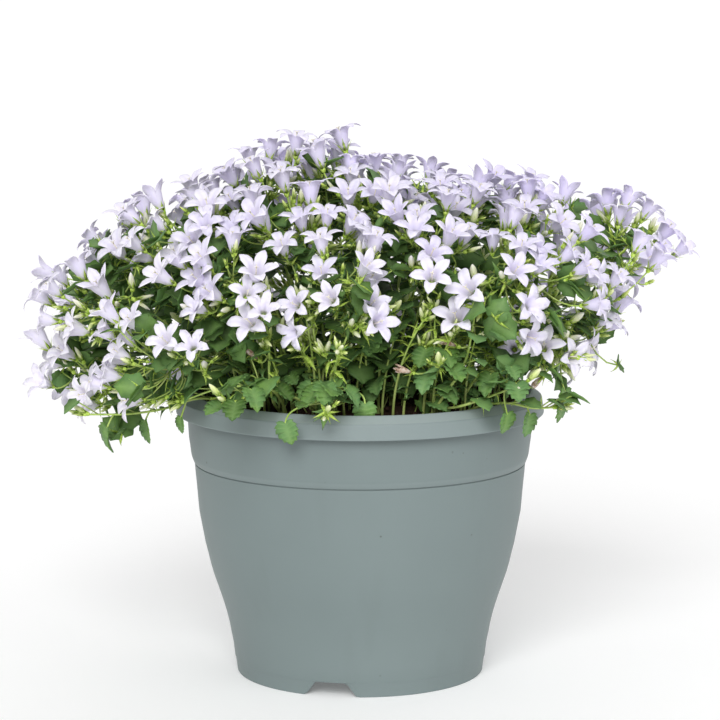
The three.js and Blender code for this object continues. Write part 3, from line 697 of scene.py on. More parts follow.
def leaf_material():
    look = Look("leaf", 0.5, 0.2, subsurface=0.06)
    patches = look.noise(190, detail=4)
    grain = look.noise(1300, detail=3)
    # Leaves of low tint take the dark green: partly the leaves' own darker tone, partly painted shade for leaves
    # deep in the mound and low on the stems
    dark = look.ramp(patches, (0.3, (0.013, 0.042, 0.004)), (0.7, (0.036, 0.092, 0.010)))
    light = look.ramp(patches, (0.3, (0.095, 0.210, 0.055)), (0.7, (0.200, 0.370, 0.080)))
    cool_share = look.times(look.ramp(look.noise(45), (0.42, 0.0), (0.62, 0.85)), "tint")
    cool = look.mix(cool_share, look.mix("tint", dark, light), (0.120, 0.250, 0.100))
    speckled = look.over(cool, (0.22, 0.36, 0.12), grain, 0.16)
    veined = look.over(speckled, (0.30, 0.46, 0.17), "vein", 0.3)
    quilted = look.math("SUBTRACT", grain, look.times("vein", 1.5))
    look.put(look.sockets["Roughness"], look.ramp(grain, (0.0, 0.38), (1.0, 0.58)))
    return look.finish(veined, quilted, 0.18 * MM, 0.6)


def pot_material():
    look = Look("pot_plastic", 0.5, 0.35)
    cloud = look.noise(9, detail=4)
    grain = look.noise(2600, detail=2)
    # Darker long streaks, stretched up and down the pot
    long_streaks = look.noise(42, detail=3, stretch=(1, 1, 0.12))
    body = look.ramp(cloud, (0.25, (0.163, 0.206, 0.206)), (0.75, (0.183, 0.229, 0.228)))
    # The rim colour is painted light, mixed in by the tint on the rim's top, its skirt and the band's edge
    rim = look.ramp(cloud, (0.25, (0.295, 0.350, 0.352)), (0.75, (0.325, 0.382, 0.384)))
    mottled = look.over(look.mix("tint", body, rim), (0.31, 0.36, 0.36), grain, 0.12)
    streaked = look.mix(look.ramp(long_streaks, (0.58, 0.0), (0.78, 0.10)), mottled, (0.11, 0.13, 0.125))
    cells = look.new("ShaderNodeTexVoronoi", Vector=look.place(), Scale=95.0, Randomness=1.0)
    rare = look.ramp(look.noise(30, detail=1), (0.56, 0.0), (0.62, 1.0))
    specks = look.times(look.ramp(cells.outputs["Distance"], (0.05, 1.0), (0.085, 0.0)), rare)
    look.put(look.sockets["Roughness"], look.ramp(cloud, (0.2, 0.44), (0.8, 0.56)))
    return look.finish(look.over(streaked, (0.05, 0.05, 0.045), specks, 0.55), grain, 0.12 * MM, 0.25)


def soil_material():
    look = Look("potting_soil", 0.95, 0.15)
    lumps = look.noise(150, detail=6, roughness=0.7)
    fine = look.noise(900, detail=4, roughness=0.7)
    dark, brown, pale = (0.016, 0.009, 0.006), (0.050, 0.026, 0.017), (0.105, 0.060, 0.040)
    earth = look.ramp(lumps, (0.3, dark), (0.6, brown), (0.8, pale))
    return look.finish(look.over(earth, (0.12, 0.07, 0.05), fine, 0.3), look.plus(lumps, fine), 1.2 * MM, 0.9)


def floor_material():
    look = Look("pale_floor", 0.85, 0.1)
    look.sockets["Emission Color"].default_value = (1.0, 1.0, 1.0, 1.0)
    look.sockets["Emission Strength"].default_value = 0.14
    look.put(look.sockets["Base Color"], look.ramp(look.noise(3, detail=3), (0.3, 0.89), (0.7, 0.91)))
    return look.material


# Turning shapes into pieces


def add_piece(name, shape, materials, slot, *nodes):
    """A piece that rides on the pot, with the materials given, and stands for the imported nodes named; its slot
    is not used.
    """
    mesh = bpy.data.meshes.new(name)
    mesh.from_pydata(shape.points.tolist(), [], shape.quads.tolist() + shape.triangles.tolist())
    mesh.polygons.foreach_set("material_index", shape.kinds.astype(np.int32))
    mesh.polygons.foreach_set("use_smooth", ~shape.crisp)
    for field in FIELDS:
        values = mesh.attributes.new(field, "FLOAT", "POINT")
        values.data.foreach_set("value", getattr(shape, field).astype(np.float32))
    for each in materials:
        mesh.materials.append(each)
    mesh.update()
    made = bpy.data.objects.new(name, mesh)
    bpy.context.scene.collection.objects.link(made)
    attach(made, "root")
    if nodes:
        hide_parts(*nodes)
    return made


# The plant

# A few slightly different makes of each repeated shape, which pick() draws from
makes = {}


def fill_makes():
    def bells(count, spread, curl, twist, fine=True):
        return [corolla(draws.uniform(*spread), draws.uniform(*curl), twist, fine) for _ in range(count)]

    def cups(count, radius, length, lean, curl, **detail):
        return [calyx(radius * MM, length * MM, lean, curl, **detail) for _ in range(count)]

    bends = ((0.2, 0.15, 0.03), (0.3, 0.3, 0.04), (0.12, 0.22, 0.05), (0.25, 0.05, 0.03), (0.15, 0.4, 0.04))
    makes["open"] = bells(14, (60, 76), (78, 128), 0.2)
    makes["half"] = bells(4, (74, 84), (40, 70), 0.25)
    makes["inner"] = bells(8, (62, 80), (70, 118), 0.2, fine=False)
    makes["pistil"] = [pistil()]
    makes["cup"] = cups(4, 1.9, 8.0, 1.3, 0.5)
    makes["inner_cup"] = cups(3, 1.9, 8.0, 1.3, 0.5, rows=2, sides=6)
    makes["bud_cup"] = cups(3, 1.4, 6.5, 1.42, 0.15)
    makes["small_cup"] = cups(3, 1.1, 5.0, 1.35, 0.1, rows=2, sides=6)
    makes["bud"] = [bud(1.0, 0.15, 0.07), bud(1.0, 0.17, 0.09), bud(1.0, 0.19, 0.1)]
    makes["small_bud"] = [bud(1.0, radius, 0.0, sides=6) for radius in (0.12, 0.145, 0.17)]
    makes["leaf"] = [leaf(1.0, *bend) for bend in bends]
    makes["plain_leaf"] = [leaf(1.0, *bend, fine=False) for bend in bends[:3]]
    makes["bract"] = [strap(1.0, 0.17, 0.5, 0.8), strap(1.0, 0.14, 0.9, 0.4), strap(1.0, 0.2, 0.2, 0.9)]
    makes["lance"] = [strap(1.0, *form, LEAF) for form in ((0.36, 0.6, 0.9), (0.3, 0.9, 0.7), (0.42, 0.3, 0.9))]


def pick(name):
    return makes[name][draws.integers(len(makes[name]))]


class Crowd:
    """The open blooms, and what has been added between them, which each new part keeps clear of."""

    def __init__(self):
        self.throats = np.empty((0, 3))
        self.axes = np.empty((0, 3))
        self.sizes = np.empty(0)
        self.others = np.empty((0, 3))

    def blocks(self, points, room=10, above=9):
        """Whether any of the points lies in a bloom, or in front of its mouth; distances in millimetres."""
        for point in points:
            ahead = point - self.throats
            high = np.einsum("ij,ij->i", ahead, self.axes)
            aside = np.linalg.norm(ahead - high[:, None] * self.axes, axis=1)
            in_mouth = (high > -2.5 * MM) & (high < above * MM) & (aside < room * MM * self.sizes)
            in_tube = (high > -13 * MM) & (high <= -2.5 * MM) & (aside < 3.5 * MM)
            if (in_mouth | in_tube).any():
                return True
        return False

    def crowded(self, point, room):
        """Whether something added lies nearer than so many millimetres."""
        return len(self.others) and (np.linalg.norm(self.others - point, axis=1) < room * MM).any()

    def add_bloom(self, head):
        self.throats = np.vstack([self.throats, head.at])
        self.axes = np.vstack([self.axes, head.axes[2]])
        self.sizes = np.append(self.sizes, head.size)

    def add(self, point):
        self.others = np.vstack([self.others, point])


crowd = Crowd()


def in_pot(point):
    """Whether a point lies in the pot, its rim or the soil."""
    radius = math.hypot(point[0] - POT_AXIS[0], point[1] - POT_AXIS[1])
    if radius < 100 * MM:
        return point[2] < 175 * MM
    return radius < RIM_RADIUS + 3 * MM and point[2] < RIM_HEIGHT + 2 * MM


def under_lean(point):
    """Whether a point hangs clear of the mound, under its lean on the right."""
    right = point[0] - POT_AXIS[0] - 145 * MM
    return right > 0 and point[2] < 185 * MM + right


def inside_box(point):
    """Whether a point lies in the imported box, or less than its margin outside it."""
    low, high = np.array(packed_box[0]), np.array(packed_box[1])
    margin = np.array([-12, 4, 4]) * MM
    return (point > low - margin).all() and (point < high + margin).all()


def lavender(point):
    """How lavender the petals at a place are: most on the crown and the right, least low on the left. The random
    part is the blooms' own tone; the rise with height, to the right and to the back is painted shade.
    """
    high = np.clip((point[2] / MM - 215) / 110, 0, 1)
    right = np.clip(point[0] / MM / 190, -0.6, 1)
    back = np.clip(point[1] / MM / 150, -0.3, 1)
    return float(np.clip(0.13 + 0.40 * high + 0.22 * right + 0.18 * back + draws.uniform(-0.14, 0.14), 0, 1))


def stalk_to(start, end, ahead, radius=STALK_RADIUS, rows=6, sides=5):
    """A stalk that leaves its stem and bends round to the way its head points, and its middle line."""
    far = np.linalg.norm(end - start)
    line = bent(start, end - ahead * far * 0.4, end, rows)
    return line, tube(line, np.linspace(radius * 1.15, radius, rows), sides)


def bloom_shapes(head, inner=False):
    """The petals, the green parts and the stalk's line of one open bloom."""
    axis = head.axes[2]
    make = "inner" if inner else "open" if draws.random() < 0.88 else "half"
    # The blooms low down are drawn a little smaller than their solids, as in the photograph
    size = head.size * float(np.interp(head.at[2] / MM, (205, 275), (0.95, 1.0)))
    # The bloom's tint holds painted shade by its place as well as its own tone
    petals = [pick(make).at(head.at, head.axes, size, tint=lavender(head.at))]
    if not inner:
        petals.append(pick("pistil").at(head.at, head.axes, size))
    cup_at = head.at - axis * TUBE_LENGTH * size
    line, stalk = stalk_to(head.base, cup_at - axis * 2.6 * MM * size, axis)
    cup = pick("inner_cup" if inner else "cup").at(cup_at, head.axes, size)
    return petals, [stalk, cup], line


def bud_shapes(at, axis, length, ripest=1.0, small=False):
    """A bud and the calyx that holds it."""
    axes = axes_on(axis, any_way())
    ripe = float(np.clip((length / MM - 6) / 5 + draws.uniform(-0.25, 0.3), 0, ripest))
    body = pick("small_bud" if small else "bud").at(at, axes, length, tint=ripe)
    cup = pick("small_cup" if small else "bud_cup")
    return body, cup.at(at + axes[2] * 0.3 * MM, axes, 0.85 + 0.25 * ripe)


def leaf_shapes(head, tint):
    """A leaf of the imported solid, with its petiole."""
    x = head.axes[0]
    blade = pick("leaf").at(head.at, head.axes, 0.86 * head.size, tint=tint)
    line = bent(head.base, head.at - x * 3 * MM - UP * 0.5 * MM, head.at + x * 0.4 * MM, 6)
    return [blade, tube(line, PETIOLE_RADIUS, 5)]


def side_leaf(kind, line, k, lengths, tints):
    """A narrow leaf at one of the points of a stalk."""
    axes = axes_on(unit(line[k + 1] - line[k]), any_way())
    return pick(kind).at(line[k], axes, draws.uniform(*lengths) * MM, tint=draws.uniform(*tints))


def extra_bracts(line):
    """Narrow leaves up a stalk: wider ones near its foot, and slim ones further up."""
    made = []
    for kind, low, high, count, lengths in (("lance", 0.0, 0.6, 3, (7, 14)), ("bract", 0.05, 0.85, 5, (6, 12))):
        for share in draws.uniform(low, high, count):
            made.append(side_leaf(kind, line, int(share * (len(line) - 1)), lengths, (0.2, 0.9)))
    return made


def more_blooms(blooms, lines, count):
    """Blooms that fill the gaps between the others, a little deeper in, on stalks from the nearest ones."""
    petals, greens = [], []
    joints = np.array([line[len(line) // 3] for line in lines])
    for _ in range(60 * count):
        if count == 0:
            break
        near = blooms[draws.integers(len(blooms))]
        if near.at[1] < 0 and near.at[2] < 222 * MM and abs(near.at[0]) < 110 * MM:
            continue
        axis = near.axes[2]
        aside = unit(np.cross(axis, any_way()))
        at = near.at + aside * draws.uniform(13, 24) * MM - axis * draws.uniform(1, 9) * MM
        turned = jitter(unit(axis + 0.3 * aside), 0.2)
        size = draws.uniform(0.8, 0.98)
        heel = at - turned * 15 * MM * size
        closest = np.linalg.norm(crowd.throats - at, axis=1).min()
        tips = [at + turned * 1 * MM, at - turned * 6 * MM, heel]
        if closest < 12.5 * MM or crowd.blocks(tips, 8, 6) or in_pot(at) or in_pot(heel):
            continue
        start = nearest(joints, heel)
        if np.linalg.norm(start - heel) > 32 * MM:
            continue
        head = Head("bloom", at, axes_on(turned, any_way()), size, start)
        bells, green, _ = bloom_shapes(head, inner=True)
        petals += bells
        greens += green
        crowd.add_bloom(head)
        count -= 1
    return petals, greens


def filling_sprigs(blooms, stems, count, deepest):
    """Leafy sprigs under and behind the blooms, which close the gaps that one would see through."""
    made = []
    for _ in range(30 * count):
        if count == 0:
            break
        near = blooms[draws.integers(len(blooms))]
        axis = near.axes[2]
        aside = unit(np.cross(axis, any_way()))
        at = near.at + aside * draws.uniform(6, 22) * MM - axis * draws.uniform(9, deepest) * MM
        if crowd.crowded(at, 8) or crowd.blocks([at], 9, 7) or in_pot(at):
            continue
        start = nearest(stems, at)
        if np.linalg.norm(start - at) > 45 * MM:
            continue
        ahead = unit(unit(at - start) + 0.5 * axis + 0.3 * UP)
        made.append(stalk_to(start, at, ahead, 0.45 * MM, rows=5, sides=4)[1])
        for _ in range(4):
            made.append(pick("bract").at(at, axes_on(ahead, any_way()), draws.uniform(7, 13) * MM))
        for _ in range(3):
            x = jitter(ahead, 0.9)
            axes = axes_on(unit(0.5 * UP + axis + 1.3 * any_way()), x)
            length = draws.uniform(11, 18) * MM
            tip = at + axes[0] * length
            if not crowd.blocks([tip, (at + tip) / 2]) and not in_pot(tip) and inside_box(tip):
                blade = pick("plain_leaf").at(at, axes, length, tint=draws.uniform(0.1, 0.7))
                if not under_lean(tip):
                    made.append(blade)
        crowd.add(at)
        count -= 1
    return made


def young_shoots(count, low, high):
    """Thin upright shoots from the soil, with narrow leaves and a tuft of buds, on one side of the pot."""
    greens, buds = [], []
    for _ in range(20 * count):
        if count == 0:
            break
        out, _ = around(draws.uniform(low, high))
        start = POT_AXIS + out * draws.uniform(52, 97) * MM + UP * 172 * MM
        height = draws.uniform(34, 84) * MM
        aside = 0.25 * any_way() * [1, 1, 0]
        end = start + unit(UP + out * draws.uniform(0.1, 0.6) + aside) * height
        line = bent(start, start + UP * height * 0.5, end, 12)
        if crowd.blocks(line[4:], 9, 8) or crowd.crowded(end, 6):
            continue
        crowd.add(end)
        count -= 1
        greens.append(tube(line, np.linspace(0.9, 0.5, 12) * MM, 5))
        for k in (3, 4, 5, 6, 7, 7, 8, 8, 9, 9, 10, 10):
            greens.append(side_leaf("lance" if k < 6 else "bract", line, k, (7, 14), (0.6, 1)))
        tuft, stalks = bud_tuft(line, draws.integers(5, 9))
        buds += tuft
        greens += stalks
    return greens, buds


def bud_tuft(line, count):
    """A tuft of small green buds, each in its calyx on a short stalk, at the end of a shoot."""
    buds, greens = [], []
    for _ in range(count):
        ahead = jitter(unit(line[-1] - line[-3]), 0.55)
        base = line[-1] + ahead * draws.uniform(1.5, 8) * MM
        body, cup = bud_shapes(base, ahead, draws.uniform(5.5, 10) * MM, 0.6, small=True)
        buds.append(body)
        greens += [cup, tube([line[-1] - ahead * 0.5 * MM, base - ahead * 1.5 * MM], 0.4 * MM, 4)]
    return buds, greens


def extra_buds(lines, tries):
    """Buds on short stalks of their own, wherever the blooms leave room for one."""
    buds, greens = [], []
    for line in lines * 2:
        ahead = unit(line[-1] - line[0])
        for _ in range(tries):
            start = line[draws.integers(1, len(line) - 1)]
            out = jitter(ahead, 0.75)
            length = draws.uniform(4.5, 11) * MM
            base = start + out * draws.uniform(4, 11) * MM
            axis = unit(out + 0.35 * ahead + 0.25 * UP)
            tip = base + axis * length
            if crowd.blocks([base, (base + tip) / 2, tip], 8.5, 7) or crowd.crowded(tip, 4.5):
                continue
            crowd.add(tip)
            body, cup = bud_shapes(base, axis, length, 0.9, small=True)
            buds.append(body)
            greens += [cup, stalk_to(start, base - axis * 2.2 * MM, axis, 0.4 * MM, rows=4, sides=4)[1]]
            break
    return buds, greens


def extra_leaves(line, count, low, high, tint, fine=False, longest=15):
    """Leaves on petioles up a stem, turned out to the light, clear of the blooms."""
    made = []
    for _ in range(count * 3):
        if count == 0:
            break
        start = line[int(draws.uniform(low, high) * (len(line) - 1))]
        outward = unit((start - POT_AXIS + any_way() * 70 * MM) * [1, 1, 0])
        toward = unit(outward + draws.uniform(-0.1, 0.9) * UP)
        joint = start + toward * draws.uniform(7, 19) * MM
        x = jitter(unit(outward + draws.uniform(-0.5, 0.35) * UP), 0.2)
        length = draws.uniform(longest - 6, longest) * MM
        up = unit(UP + 0.5 * outward + 0.45 * any_way())
        axes = axes_on(up - x * (x @ up), x)
        tip = joint + axes[0] * length
        centre = joint + axes[0] * length * 0.4
        if crowd.blocks([joint, tip, centre, centre + axes[1] * 5 * MM, centre - axes[1] * 5 * MM]):
            continue
        if in_pot(joint) or in_pot(tip) or crowd.crowded(centre, 6) or not inside_box(tip):
            continue
        crowd.add(centre)
        count -= 1
        shade = float(np.clip(tint + draws.uniform(-0.2, 0.2), 0, 1))
        blade = pick("leaf" if fine else "plain_leaf").at(joint, axes, length, tint=shade)
        petiole = tube(bent(start, start + toward * 8 * MM, joint + axes[0] * 0.3 * MM, 4), 0.42 * MM, 4)
        if not under_lean(tip):
            made += [blade, petiole]
    return made


def low_leaves(count):
    """Leaves on long petioles straight from the soil, all over it and out to the rim."""
    made = []
    while len(made) < 2 * count:
        radius = 99 * MM * math.sqrt(draws.uniform(0.01, 1))
        out, _ = around(draws.uniform(0, 2 * math.pi))
        in_front = out[1] < 0
        if radius > 80 * MM and out @ [0.05, -1, 0] > 0.97 or in_front and draws.random() < 0.5:
            continue
        start = POT_AXIS + out * radius + UP * 171 * MM
        rise = unit(UP + out * draws.uniform(0, 0.6) + 0.5 * any_way() * [1, 1, 0])
        tallest = 26 + 26 * (1 - radius / (100 * MM))
        height = draws.uniform(10, tallest) * (1.5 if out[1] > 0 else 1) * MM
        joint = start + rise * height
        up = unit(UP + 0.7 * out + 0.6 * any_way())
        axes = axes_on(up, jitter(unit(out + draws.uniform(-0.4, 0.3) * UP), 0.8))
        length = draws.uniform(8, 13 if in_front else 18) * MM
        tip = joint + axes[0] * length
        if crowd.blocks([joint, tip, (joint + tip) / 2]) or in_pot(joint) or in_pot(tip):
            continue
        # Leaves nearer the middle, under the mound, are painted darker as shade; the random part is their own
        # tone
        tint = np.clip((radius / MM - 30) / 90 + draws.uniform(-0.4, 0.25), 0.0, 0.9)
        blade = pick("leaf" if radius > 80 * MM else "plain_leaf")
        made.append(blade.at(joint, axes, length, tint=tint))
        made.append(tube(bent(start, start + rise * height * 0.6, joint + axes[0] * 0.3 * MM, 6), 0.5 * MM, 4))
    return made


# Leaves that hang under the mound and over the rim: joint with the petiole, from the pot's axis, and length
HANGING = [
    (-44, -119, 177, 14), (-153, -66, 165, 17), (-130, -66, 169, 14), (-108, -72, 172, 10),
    (88, -88, 177, 13), (102, -78, 175, 14), (124, -62, 187, 20), (3, -104, 186, 14),
]

# Stems that lie over the rim or arch up in front of it, as points from the pot's axis
TRAILS = [
    [(-62, -42, 172), (-84, -54, 180), (-100, -62, 182), (-116, -65, 177), (-138, -66, 173.5), (-164, -66, 173)],
    [(38, -70, 172), (52, -86, 180), (60, -93, 182.5), (72, -90, 186), (88, -84, 191), (106, -78, 198),
     (126, -70, 208)],
    [(60, -58, 172), (80, -74, 181), (91, -80, 182), (103, -78, 179), (117, -70, 178)],
    [(-18, -76, 172), (-19, -84, 182), (-18, -92, 197), (-12, -97, 214), (-6, -99, 230)],
    [(-20, -70, 172), (-34, -84, 184), (-50, -90, 191), (-68, -89, 194), (-86, -82, 191), (-104, -76, 184)],
    [(-46, -68, 172), (-52, -84, 184), (-54, -94, 202), (-54, -100, 222), (-57, -103, 240)],
    [(42, -78, 172), (50, -88, 188), (61, -95, 206), (66, -99, 226), (68, -101, 240)],
]

# Withered and spent blooms, from the pot's axis
WITHERED = [(25, -103, 206), (51, -100, 222), (-66, -98, 216), (-103, -84, 205), (106, -76, 194)]

# Pairs of leaves inside the mound, which close gaps in it: joint from the pot's axis, and length
INNER = [(60, 20, 263, 20), (76, 38, 258, 19), (44, 40, 262, 18), (-166, 0, 252, 17), (-150, 20, 256, 17)]


def trailing_stems():
    """Greens and buds of the trailing stems, with their leaves, bracts and tufts, and their middle lines."""
    greens, buds, lines = [], [], []
    for points in TRAILS:
        line = smooth_line(POT_AXIS + np.array(points) * MM, 20)
        tuft, stalks = bud_tuft(line, 6)
        lines.append(line)
        buds += tuft
        greens += [tube(line, np.linspace(1.0, 0.6, 20) * MM, 6), *stalks, *extra_bracts(line[4:])]
        greens += extra_leaves(line, 4, 0.35, 1.0, 0.6)
    return greens, buds, lines


def withered_blooms(stems):
    """A few papery, crumpled bells that have finished, each on a stalk from the nearest stem."""
    bells, greens = [], []
    for spot in WITHERED:
        at = from_axis(*spot)
        start = nearest(stems, at)
        axis = jitter(unit(unit(at - start) + 0.6 * UP), 0.4)
        size = draws.uniform(0.5, 0.62)
        bell = corolla(84, draws.uniform(-30, 10), 0.9, fine=False)
        bell.points[:, :2] *= 0.62
        bells.append(bell.at(at, axes_on(axis, any_way()), size))
        cup_at = at - axis * TUBE_LENGTH * size
        greens.append(calyx(1.5 * MM, 6 * MM, 1.3, 0.3, rows=2, sides=6).at(cup_at, axes_on(axis)))
        greens.append(stalk_to(start, cup_at - axis * 2.4 * MM, axis, 0.55 * MM)[1])
    return bells, greens


def inner_leaves(stems):
    """Pairs of leaves across the mound, behind its blooms."""
    made = []
    for x, y, z, length in INNER:
        joint = from_axis(x, y, z)
        start = nearest(stems, joint)
        made.append(tube(bent(start, (start + joint) / 2 - UP * 3 * MM, joint, 5), 0.45 * MM, 4))
        for side in (1, -1):
            axes = axes_on([0.0, -1.0, 0.5], jitter(np.array([side, 0.0, 0.0]), 0.25))
            made.append(pick("plain_leaf").at(joint, axes, length * MM, tint=draws.uniform(0.2, 0.5)))
    return made


def hanging_leaves(stems):
    """The hanging leaves, each on a long petiole from the nearest stem."""
    made = []
    for x, y, z, length in HANGING:
        joint = from_axis(x, y, z)
        out = unit(np.array([x, y, 0.0]))
        bend = joint + (UP * 10 - out * 4) * MM
        fall = unit(draws.uniform(-0.3, 0.3) * np.cross(UP, out) + 0.15 * out - UP)
        made.append(pick("leaf").at(joint, axes_on(out, fall), length * MM, tint=0.8))
        made.append(tube(bent(nearest(stems, bend), bend, joint + fall * 0.3 * MM, 9), 0.55 * MM, 5))
    return made


def dress_stem(name, line, heads):
    """The petals, greens and buds that stand for one packed stem, and the lines of its bloom stalks."""
    leafy = name.startswith("leafy")
    smooth = smooth_line(line, 24)
    flowers, buds, bud_stalks, bloom_stalks = [], [], [], []
    greens = [tube(smooth, np.linspace(STEM_RADIUS, 0.7 * STEM_RADIUS, len(smooth)), 7)]
    for head in heads:
        if head.kind == "bloom":
            petals, green, stalk = bloom_shapes(head)
            flowers += petals
            greens += green
            bloom_stalks.append(stalk)
        elif head.kind == "bud":
            axis = head.axes[2]
            body, cup = bud_shapes(head.at, axis, head.size, 0.35 if leafy else 1.0)
            stalk, shape = stalk_to(head.base, head.at - axis * 2.2 * MM, axis)
            buds.append(body)
            greens += [cup, shape]
            bud_stalks.append(stalk)
        else:
            greens += leaf_shapes(head, draws.uniform(0.15, 1.0))
    stalks = bud_stalks + bloom_stalks
    more_buds, more_greens = extra_buds(stalks, 7)
    buds += more_buds
    greens += more_greens
    for stalk in stalks:
        greens += extra_bracts(stalk)
    if leafy:
        greens += extra_leaves(smooth, 6, 0.35, 1.0, 0.55, fine=True)
    else:
        # The leaves low on a stem, deep in the mound, take a very low tint: their dark green is painted shade
        greens += extra_leaves(smooth, 8, 0.15, 0.75, 0.08, longest=21)
        greens += extra_leaves(smooth, 9, 0.7, 1.0, 0.3)
    return flowers, greens, buds, bloom_stalks


def grow_plant():
    petal_set = [petal_material(), pistil_material()]
    green_set = [stem_material(), calyx_material(), bud_material(), leaf_material()]

    def add(name, shapes, slot="foliage", *nodes):
        if shapes:
            add_piece(name, merged(shapes), petal_set if slot == "petals" else green_set, slot, *nodes)

    fill_makes()
    stems = {n: read_stem(n) for n in sorted(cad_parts) if n.startswith(("spray", "leafy"))}
    heads = [head for _, of_stem in stems.values() for head in of_stem]
    blooms = [head for head in heads if head.kind == "bloom"]
    for head in heads:
        if head.kind == "bloom":
            crowd.add_bloom(head)
        else:
            crowd.add(head.at + head.axes[0 if head.kind == "leaf" else 2] * head.size * 0.6)
    all_stalks = []
    for name, (line, of_stem) in stems.items():
        flowers, greens, buds, stalks = dress_stem(name, line, of_stem)
        all_stalks += stalks
        add(name + "_flowers", flowers, "petals", name)
        add(name + "_greens", greens, "foliage", name)
        add(name + "_buds", buds, "buds", name)
    petals, greens = more_blooms(blooms, all_stalks, 75)
    add("inner_flowers", petals, "petals")
    add("inner_stalks", greens)
    stem_points = np.concatenate([smooth_line(line, 24) for line, _ in stems.values()])
    left = [bloom for bloom in blooms if bloom.at[0] < POT_AXIS[0] - 70 * MM]
    right = [bloom for bloom in blooms if bloom.at[0] > POT_AXIS[0] + 110 * MM]
    sides = (("left", left, 75, 55), ("right", right, 25, 45), ("middle", blooms, 95, 34))
    for side, near, count, deepest in sides:
        add(side + "_sprigs", filling_sprigs(near, stem_points, count, deepest))
    for side, low, high, count in (("front", -math.pi, 0, 46), ("back", 0, math.pi, 18)):
        greens, buds = young_shoots(count, low, high)
        add(side + "_shoots", greens)
        add(side + "_shoot_buds", buds, "buds")
    for index in range(4):
        add(f"low_leaves_{index + 1}", low_leaves(32))
    greens, buds, trails = trailing_stems()
    add("trailing_stems", greens)
    add("trailing_buds", buds, "buds")
    all_points = np.concatenate([stem_points, *trails])
    add("hanging_leaves", hanging_leaves(all_points))
    add("inner_leaves", inner_leaves(stem_points))
    bells, greens = withered_blooms(all_points)
    add_piece("withered_blooms", merged(bells), [withered_material()], "petals")
    add("withered_stalks", greens)


# The pot and its soil

# Radius and height in millimetres, up the outside from the floor, over the rim and down the inside
POT_OUTSIDE = [
    (77.0, 0), (77.4, 0.5), (78.6, 9.0), (78.75, 9.3), (79.0, 9.8), (80.0, 18.2), (81.3, 24.7), (82.5, 31.2),
    (84.0, 37.6), (85.9, 44.1), (88.0, 50.6), (90.2, 57.1), (92.4, 63.5), (94.2, 70.0), (95.7, 76.6),
    (97.3, 83.0), (98.5, 89.4), (99.7, 95.8), (100.9, 102.2), (101.5, 108.6), (102.0, 115.0), (102.6, 121.4),
    (103.2, 127.8), (103.6, 132.9), (103.5, 133.1), (103.0, 133.2), (103.0, 133.9), (104.0, 134.0),
    (104.2, 134.3), (105.2, 137.0), (105.5, 138.0), (105.9, 140.0), (106.5, 145.0), (107.1, 149.0),
    (107.6, 157.0), (107.9, 163.6), (108.2, 171.0), (108.8, 172.4), (111.6, 172.4), (112.3, 171.6),
    (113.2, 165.6), (113.4, 165.2), (113.7, 165.0), (114.6, 165.0), (114.9, 165.15), (115.0, 165.5),
    (114.95, 166.0), (113.9, 173.4), (113.8, 174.1), (113.6, 174.5), (113.2, 174.85), (112.6, 175.3),
    (108.6, 178.3), (108.0, 178.75), (107.3, 179.0), (106.4, 178.8),
]
POT_INSIDE = [
    (105.6, 178.2), (105.2, 177.2), (105.0, 160.0), (102.5, 133.0), (98.0, 98.0), (91.7, 70.0), (83.4, 44.0),
    (76.8, 14.0), (75.5, 12.3), (40.0, 12.0),
]
POT_UNDER = [(40.0, 9.3), (74.0, 9.3), (74.9, 9.0), (74.6, 0.5), (74.9, 0.0)]
SOIL_WALL = [
    (76.2, 12.35), (83.0, 44.0), (91.3, 70.0), (97.6, 98.0), (102.1, 133.0), (104.6, 160.0), (104.6, 168.5),
]
POT_SIDES, SOIL_SIDES = 192, 120
FOOT_RADIUS = 77
FLOOR_UNDER, FLOOR_TOP = 9.3, 12.0
NOTCH_TOP, NOTCH_BOTTOM, NOTCH_HEIGHT = 19.6, 32.0, 8.6
NOTCH_TURNS = [math.radians(-103.5 + 120 * k) for k in range(3)]
DRAIN_RADIUS, DRAIN_RING = 5.0, 50.0


def notch_height(turn):
    """How far the foot's edge is raised at an angle round the pot, in millimetres."""
    off = min(abs((turn - at + math.pi) % (2 * math.pi) - math.pi) for at in NOTCH_TURNS)
    share = (off * FOOT_RADIUS - NOTCH_TOP / 2) / ((NOTCH_BOTTOM - NOTCH_TOP) / 2)
    return NOTCH_HEIGHT * float(np.clip(1 - share, 0, 1)) ** 0.9


def painted_rim_light(radius, height):
    """How much painted light the plastic takes: most on the rim's sloping top, less on its skirt, and a painted
    highlight on the band's edge.
    """
    if radius > 107 and height > 174.6:
        return 1.0
    if radius > 108.5:
        return 0.3
    return 0.12 if 133.95 < height < 138 and radius > 103.8 else 0.0


def on_pot_axis(rings, bottom, top, tint=0.0):
    """A closed shape out of rings of corners in millimetres, with a middle at each end."""
    made = capped(rings, [[0, 0, bottom], [0, 0, top]], tint=tint)
    made.points = made.points * MM + POT_AXIS
    return made


def pot_shape():
    """The pot as one closed skin turned round its axis, its foot's edge raised at the notches."""
    profile = [*POT_UNDER, *POT_OUTSIDE, *POT_INSIDE]
    angles = even_turns(POT_SIDES)
    raised = np.array([notch_height(turn) for turn in angles])
    rings = [circle(radius, angles, high + raised * max(0, 1 - high / FLOOR_UNDER)) for radius, high in profile]
    # The rim's top, its skirt and the band's edge take painted light through their tint
    painted_light = [painted_rim_light(radius, height) for radius, height in profile]
    return on_pot_axis(rings, FLOOR_UNDER, FLOOR_TOP, tint=np.append(np.repeat(painted_light, POT_SIDES), [0, 0]))


